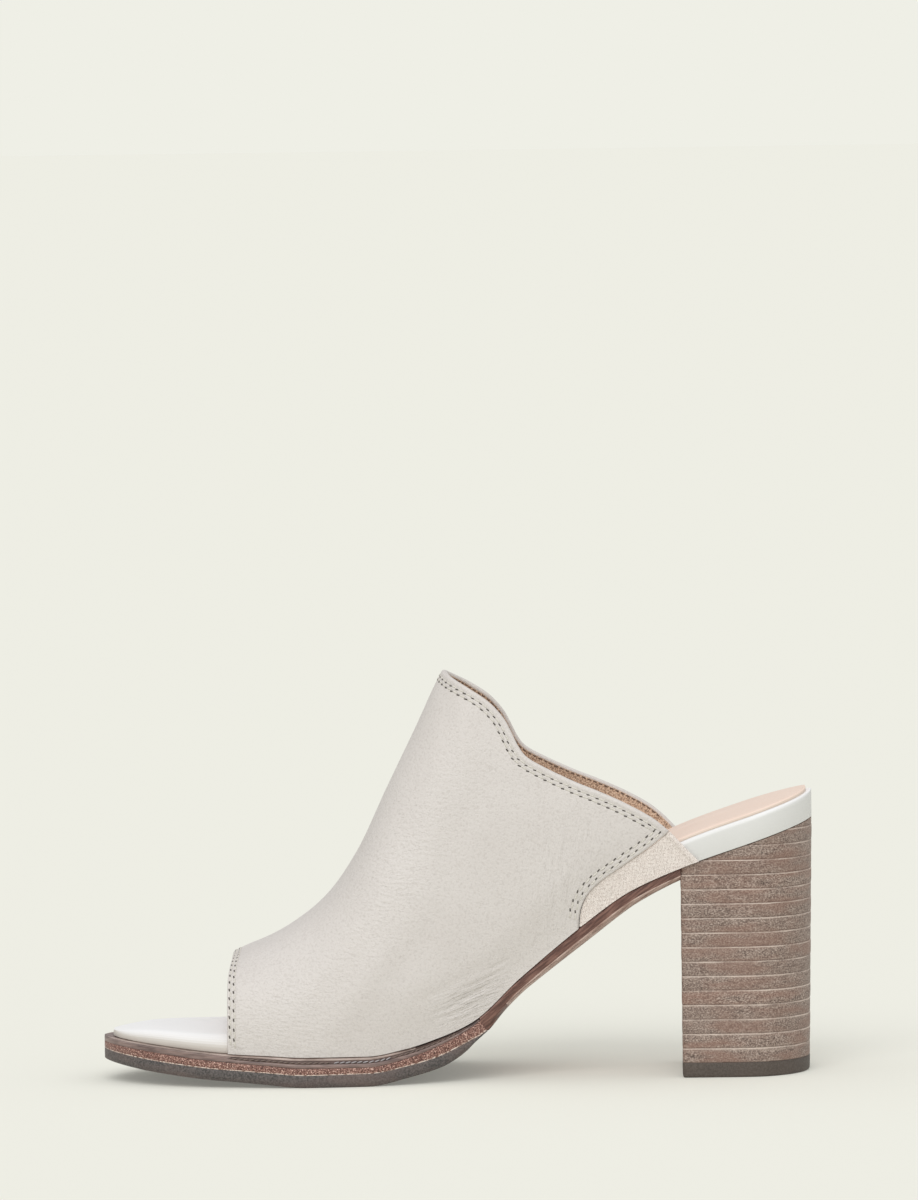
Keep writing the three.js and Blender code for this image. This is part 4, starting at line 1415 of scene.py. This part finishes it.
def heel_outline(z, inset=0.0):
    """The heel block's outline at a height, going round from the middle of its breast."""
    drop = 1 - z / last.sole(HEEL_BACK)
    narrow = HEEL_NARROWING * drop + inset
    round_start = HEEL_BACK - HEEL_LENGTH
    corner = np.linspace(0, math.pi / 2, 5)[:-1]
    halves = []
    for side, breast in ((-1, BREAST_MEDIAL + inset), (1, BREAST_LATERAL + inset)):
        start = breast + BREAST_CORNER
        xs = np.concatenate([
            np.linspace(start, round_start, 10),
            round_start + HEEL_LENGTH * np.sin(np.linspace(0, 1, 25)[1:] * math.pi / 2),
        ])
        width = half_width(xs, side, -SEAM_INSET - narrow, FOOTBED_TOE, HEEL_BACK)
        bend_x = breast + BREAST_CORNER * (1 - np.sin(corner))
        bend_y = width[0] - BREAST_CORNER * (1 - np.cos(corner))
        lean = (HEEL_LEAN * drop + inset) * clamp01((xs - start) / (HEEL_BACK - start))
        middle = (BREAST_MEDIAL + BREAST_LATERAL) / 2 + inset
        front_x = np.linspace(middle, breast, 8)[:-1]
        front_y = np.linspace(0, width[0] - BREAST_CORNER, 8)[:-1]
        line_x = np.concatenate([front_x, bend_x[::-1], xs - lean])
        line_y = np.concatenate([front_y, bend_y[::-1], width])
        halves.append(np.stack([line_x, line_y * side], -1))
    return np.concatenate([halves[0], halves[1][::-1][1:-1]])


def heel_piece(name, levels, materials, uv_zero, uv_height):
    """A wall of heel outlines at (height, inset) levels, trimmed by the seat above it."""
    rings, uvs = [], []
    for z, inset in levels:
        outline = heel_outline(min(z, HEEL_OUTLINE_TOP), inset)
        height = np.minimum(z, last.sole(outline[:, 0]))
        rings.append(np.column_stack([outline, height]))
        uvs.append(np.column_stack([run_along(outline), (height - uv_zero) / uv_height]))
    size = len(rings[0])
    faces = ring_faces(len(rings), size, caps=False)
    faces += pair_strip(0, size, False) + pair_strip((len(rings) - 1) * size, size, True)
    return make_mesh(name, np.concatenate(rings), faces, materials, uvs=np.concatenate(uvs), sharp=40)


# Each lift is a little rounded at its edges and stands slightly in or out, as (height, inset).
stack_levels = []
for i in range(LIFT_COUNT):
    low = TOP_PIECE + i * LIFT
    step = 0.05 * math.sin(2.4 * i + 0.7)
    stack_levels += [
        (low + 0.02, 0.16), (low + 0.16, 0.05 + step), (low + 0.5, step), (low + LIFT * 0.5, step - 0.02),
        (low + LIFT - 0.5, step), (low + LIFT - 0.14, 0.03 + step),
    ]
stack = heel_piece("heel_stack", stack_levels, [heel_leather], TOP_PIECE, LIFT)
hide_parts(*[f"heel_lift_{i + 1:02d}" for i in range(LIFT_COUNT)])
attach(stack, "root")

top_levels = [
    (0.0, 0.9), (0.1, 0.4), (0.4, 0.1), (0.9, 0.0), (TOP_PIECE - 0.5, -0.05), (TOP_PIECE - 0.1, 0.02),
    (TOP_PIECE, 0.25),
]
top_piece = heel_piece("heel_rubber_piece", top_levels, [heel_rubber], 0, TOP_PIECE)
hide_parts("heel_top_piece")
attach(top_piece, "root")


def ledge_frames(start, stop, inset=1.35, depth_share=0.46, pitch=WELT_PITCH):
    """Places along the welt's groove on both sides of the shoe: position, tangent and normal."""
    frames = []
    for side in (-1, 1):
        xs = np.linspace(start, stop, LINE_POINTS)
        px, pz = stacked(xs, -layer.welt_end(xs) * depth_share)
        wide = half_width(px, side, layer.ledge(px), TOE_TIP, sole_end)
        wide -= inset * smooth(layer.welt_end(xs) / WELT_FULL)
        line = np.stack([px, middle_line(px, TOE_TIP) + side * wide, pz], -1)
        run = run_along(line)
        at = np.arange(pitch / 2, run[-1], pitch)
        centre = places_on(line, run, at)
        tangent = unit(places_on(line, run, at + 0.4) - centre)
        normal = unit(np.array([0, side * 0.85, 0.55]))
        frames.append((centre, tangent, unit(normal - tangent * np.sum(normal * tangent, -1, keepdims=True))))
    return frames


# The welt's stitches are pale for a short stretch beside the ball of the foot and stained elsewhere.
pale_frames = ledge_frames(-41, -23)
scatter_beads("welt_stitches", pale_frames, WELT_STITCH, 0.1, welt_thread, turned=0.3)
stained_frames = ledge_frames(-76, -42) + ledge_frames(-22, -2)
scatter_beads("stained_welt_stitches", stained_frames, WELT_STITCH, 0.04, stained_thread, turned=0.3)

# Camera at the photograph's place, floor and light.
aim = Vector(CAMERA_AIM) * MM
back = Vector((0, -math.cos(CAMERA_PITCH), math.sin(CAMERA_PITCH)))
eye = aim + back * CAMERA_DISTANCE * MM
right = (-back).cross(Vector((0, 0, 1))).normalized()
above = right.cross(-back)
camera_data = bpy.data.cameras.new("camera")
camera_data.sensor_width = SENSOR
camera_data.lens = PIXELS_PER_MM * CAMERA_DISTANCE / max(PHOTO_SIZE) * SENSOR
camera_data.clip_end = 100
camera = add_object("camera", camera_data)
turned = Matrix((right, above, back)).transposed().to_4x4()
camera.matrix_world = Matrix.Translation(eye) @ turned @ Matrix.Rotation(CAMERA_ROLL, 4, "Z")
bpy.context.scene.camera = camera

floor_shader = Shader("floor", 0.9)
floor_shader.principled.inputs["Base Color"].default_value = (*srgb(237, 237, 228), 1)
floor_shader.principled.inputs["Specular IOR Level"].default_value = 0.0
floor_mesh = bpy.data.meshes.new("floor")
floor_corners = [(x * FLOOR_HALF, y * FLOOR_HALF, 0) for x, y in ((-1, -1), (1, -1), (1, 1), (-1, 1))]
floor_mesh.from_pydata(floor_corners, [], [(0, 1, 2, 3)])
floor_mesh.materials.append(floor_shader.material)
floor = add_object("floor", floor_mesh)

world = bpy.data.worlds.new("studio")
world.use_nodes = True
sky_nodes = world.node_tree.nodes
sky_links = world.node_tree.links
ambient = sky_nodes["Background"]
ambient.inputs["Color"].default_value = (1.0, 0.995, 0.985, 1)
ambient.inputs["Strength"].default_value = AMBIENT
backdrop = sky_nodes.new("ShaderNodeBackground")
backdrop.inputs["Color"].default_value = (*srgb(239, 239, 230), 1)
seen = sky_nodes.new("ShaderNodeLightPath")
either = sky_nodes.new("ShaderNodeMixShader")
sky_links.new(seen.outputs["Is Camera Ray"], either.inputs[0])
sky_links.new(ambient.outputs[0], either.inputs[1])
sky_links.new(backdrop.outputs[0], either.inputs[2])
sky_links.new(either.outputs[0], sky_nodes["World Output"].inputs["Surface"])
bpy.context.scene.world = world


def sun(name, direction, strength, softness, shadow=True):
    """A sun that shines from a direction, its softness in degrees."""
    light = bpy.data.lights.new(name, "SUN")
    light.use_shadow = shadow
    light.energy = strength
    light.angle = math.radians(softness)
    lamp = add_object(name, light)
    lamp.rotation_mode = "QUATERNION"
    lamp.rotation_quaternion = Vector(direction).to_track_quat("Z", "Y")


sun("key", (-0.2, -1.1, 1.0), 0.95, 40)
sun("fill", (0.0, -0.3, 1.0), 0.68, 40, shadow=False)
bpy.context.scene.view_settings.view_transform = "Standard"
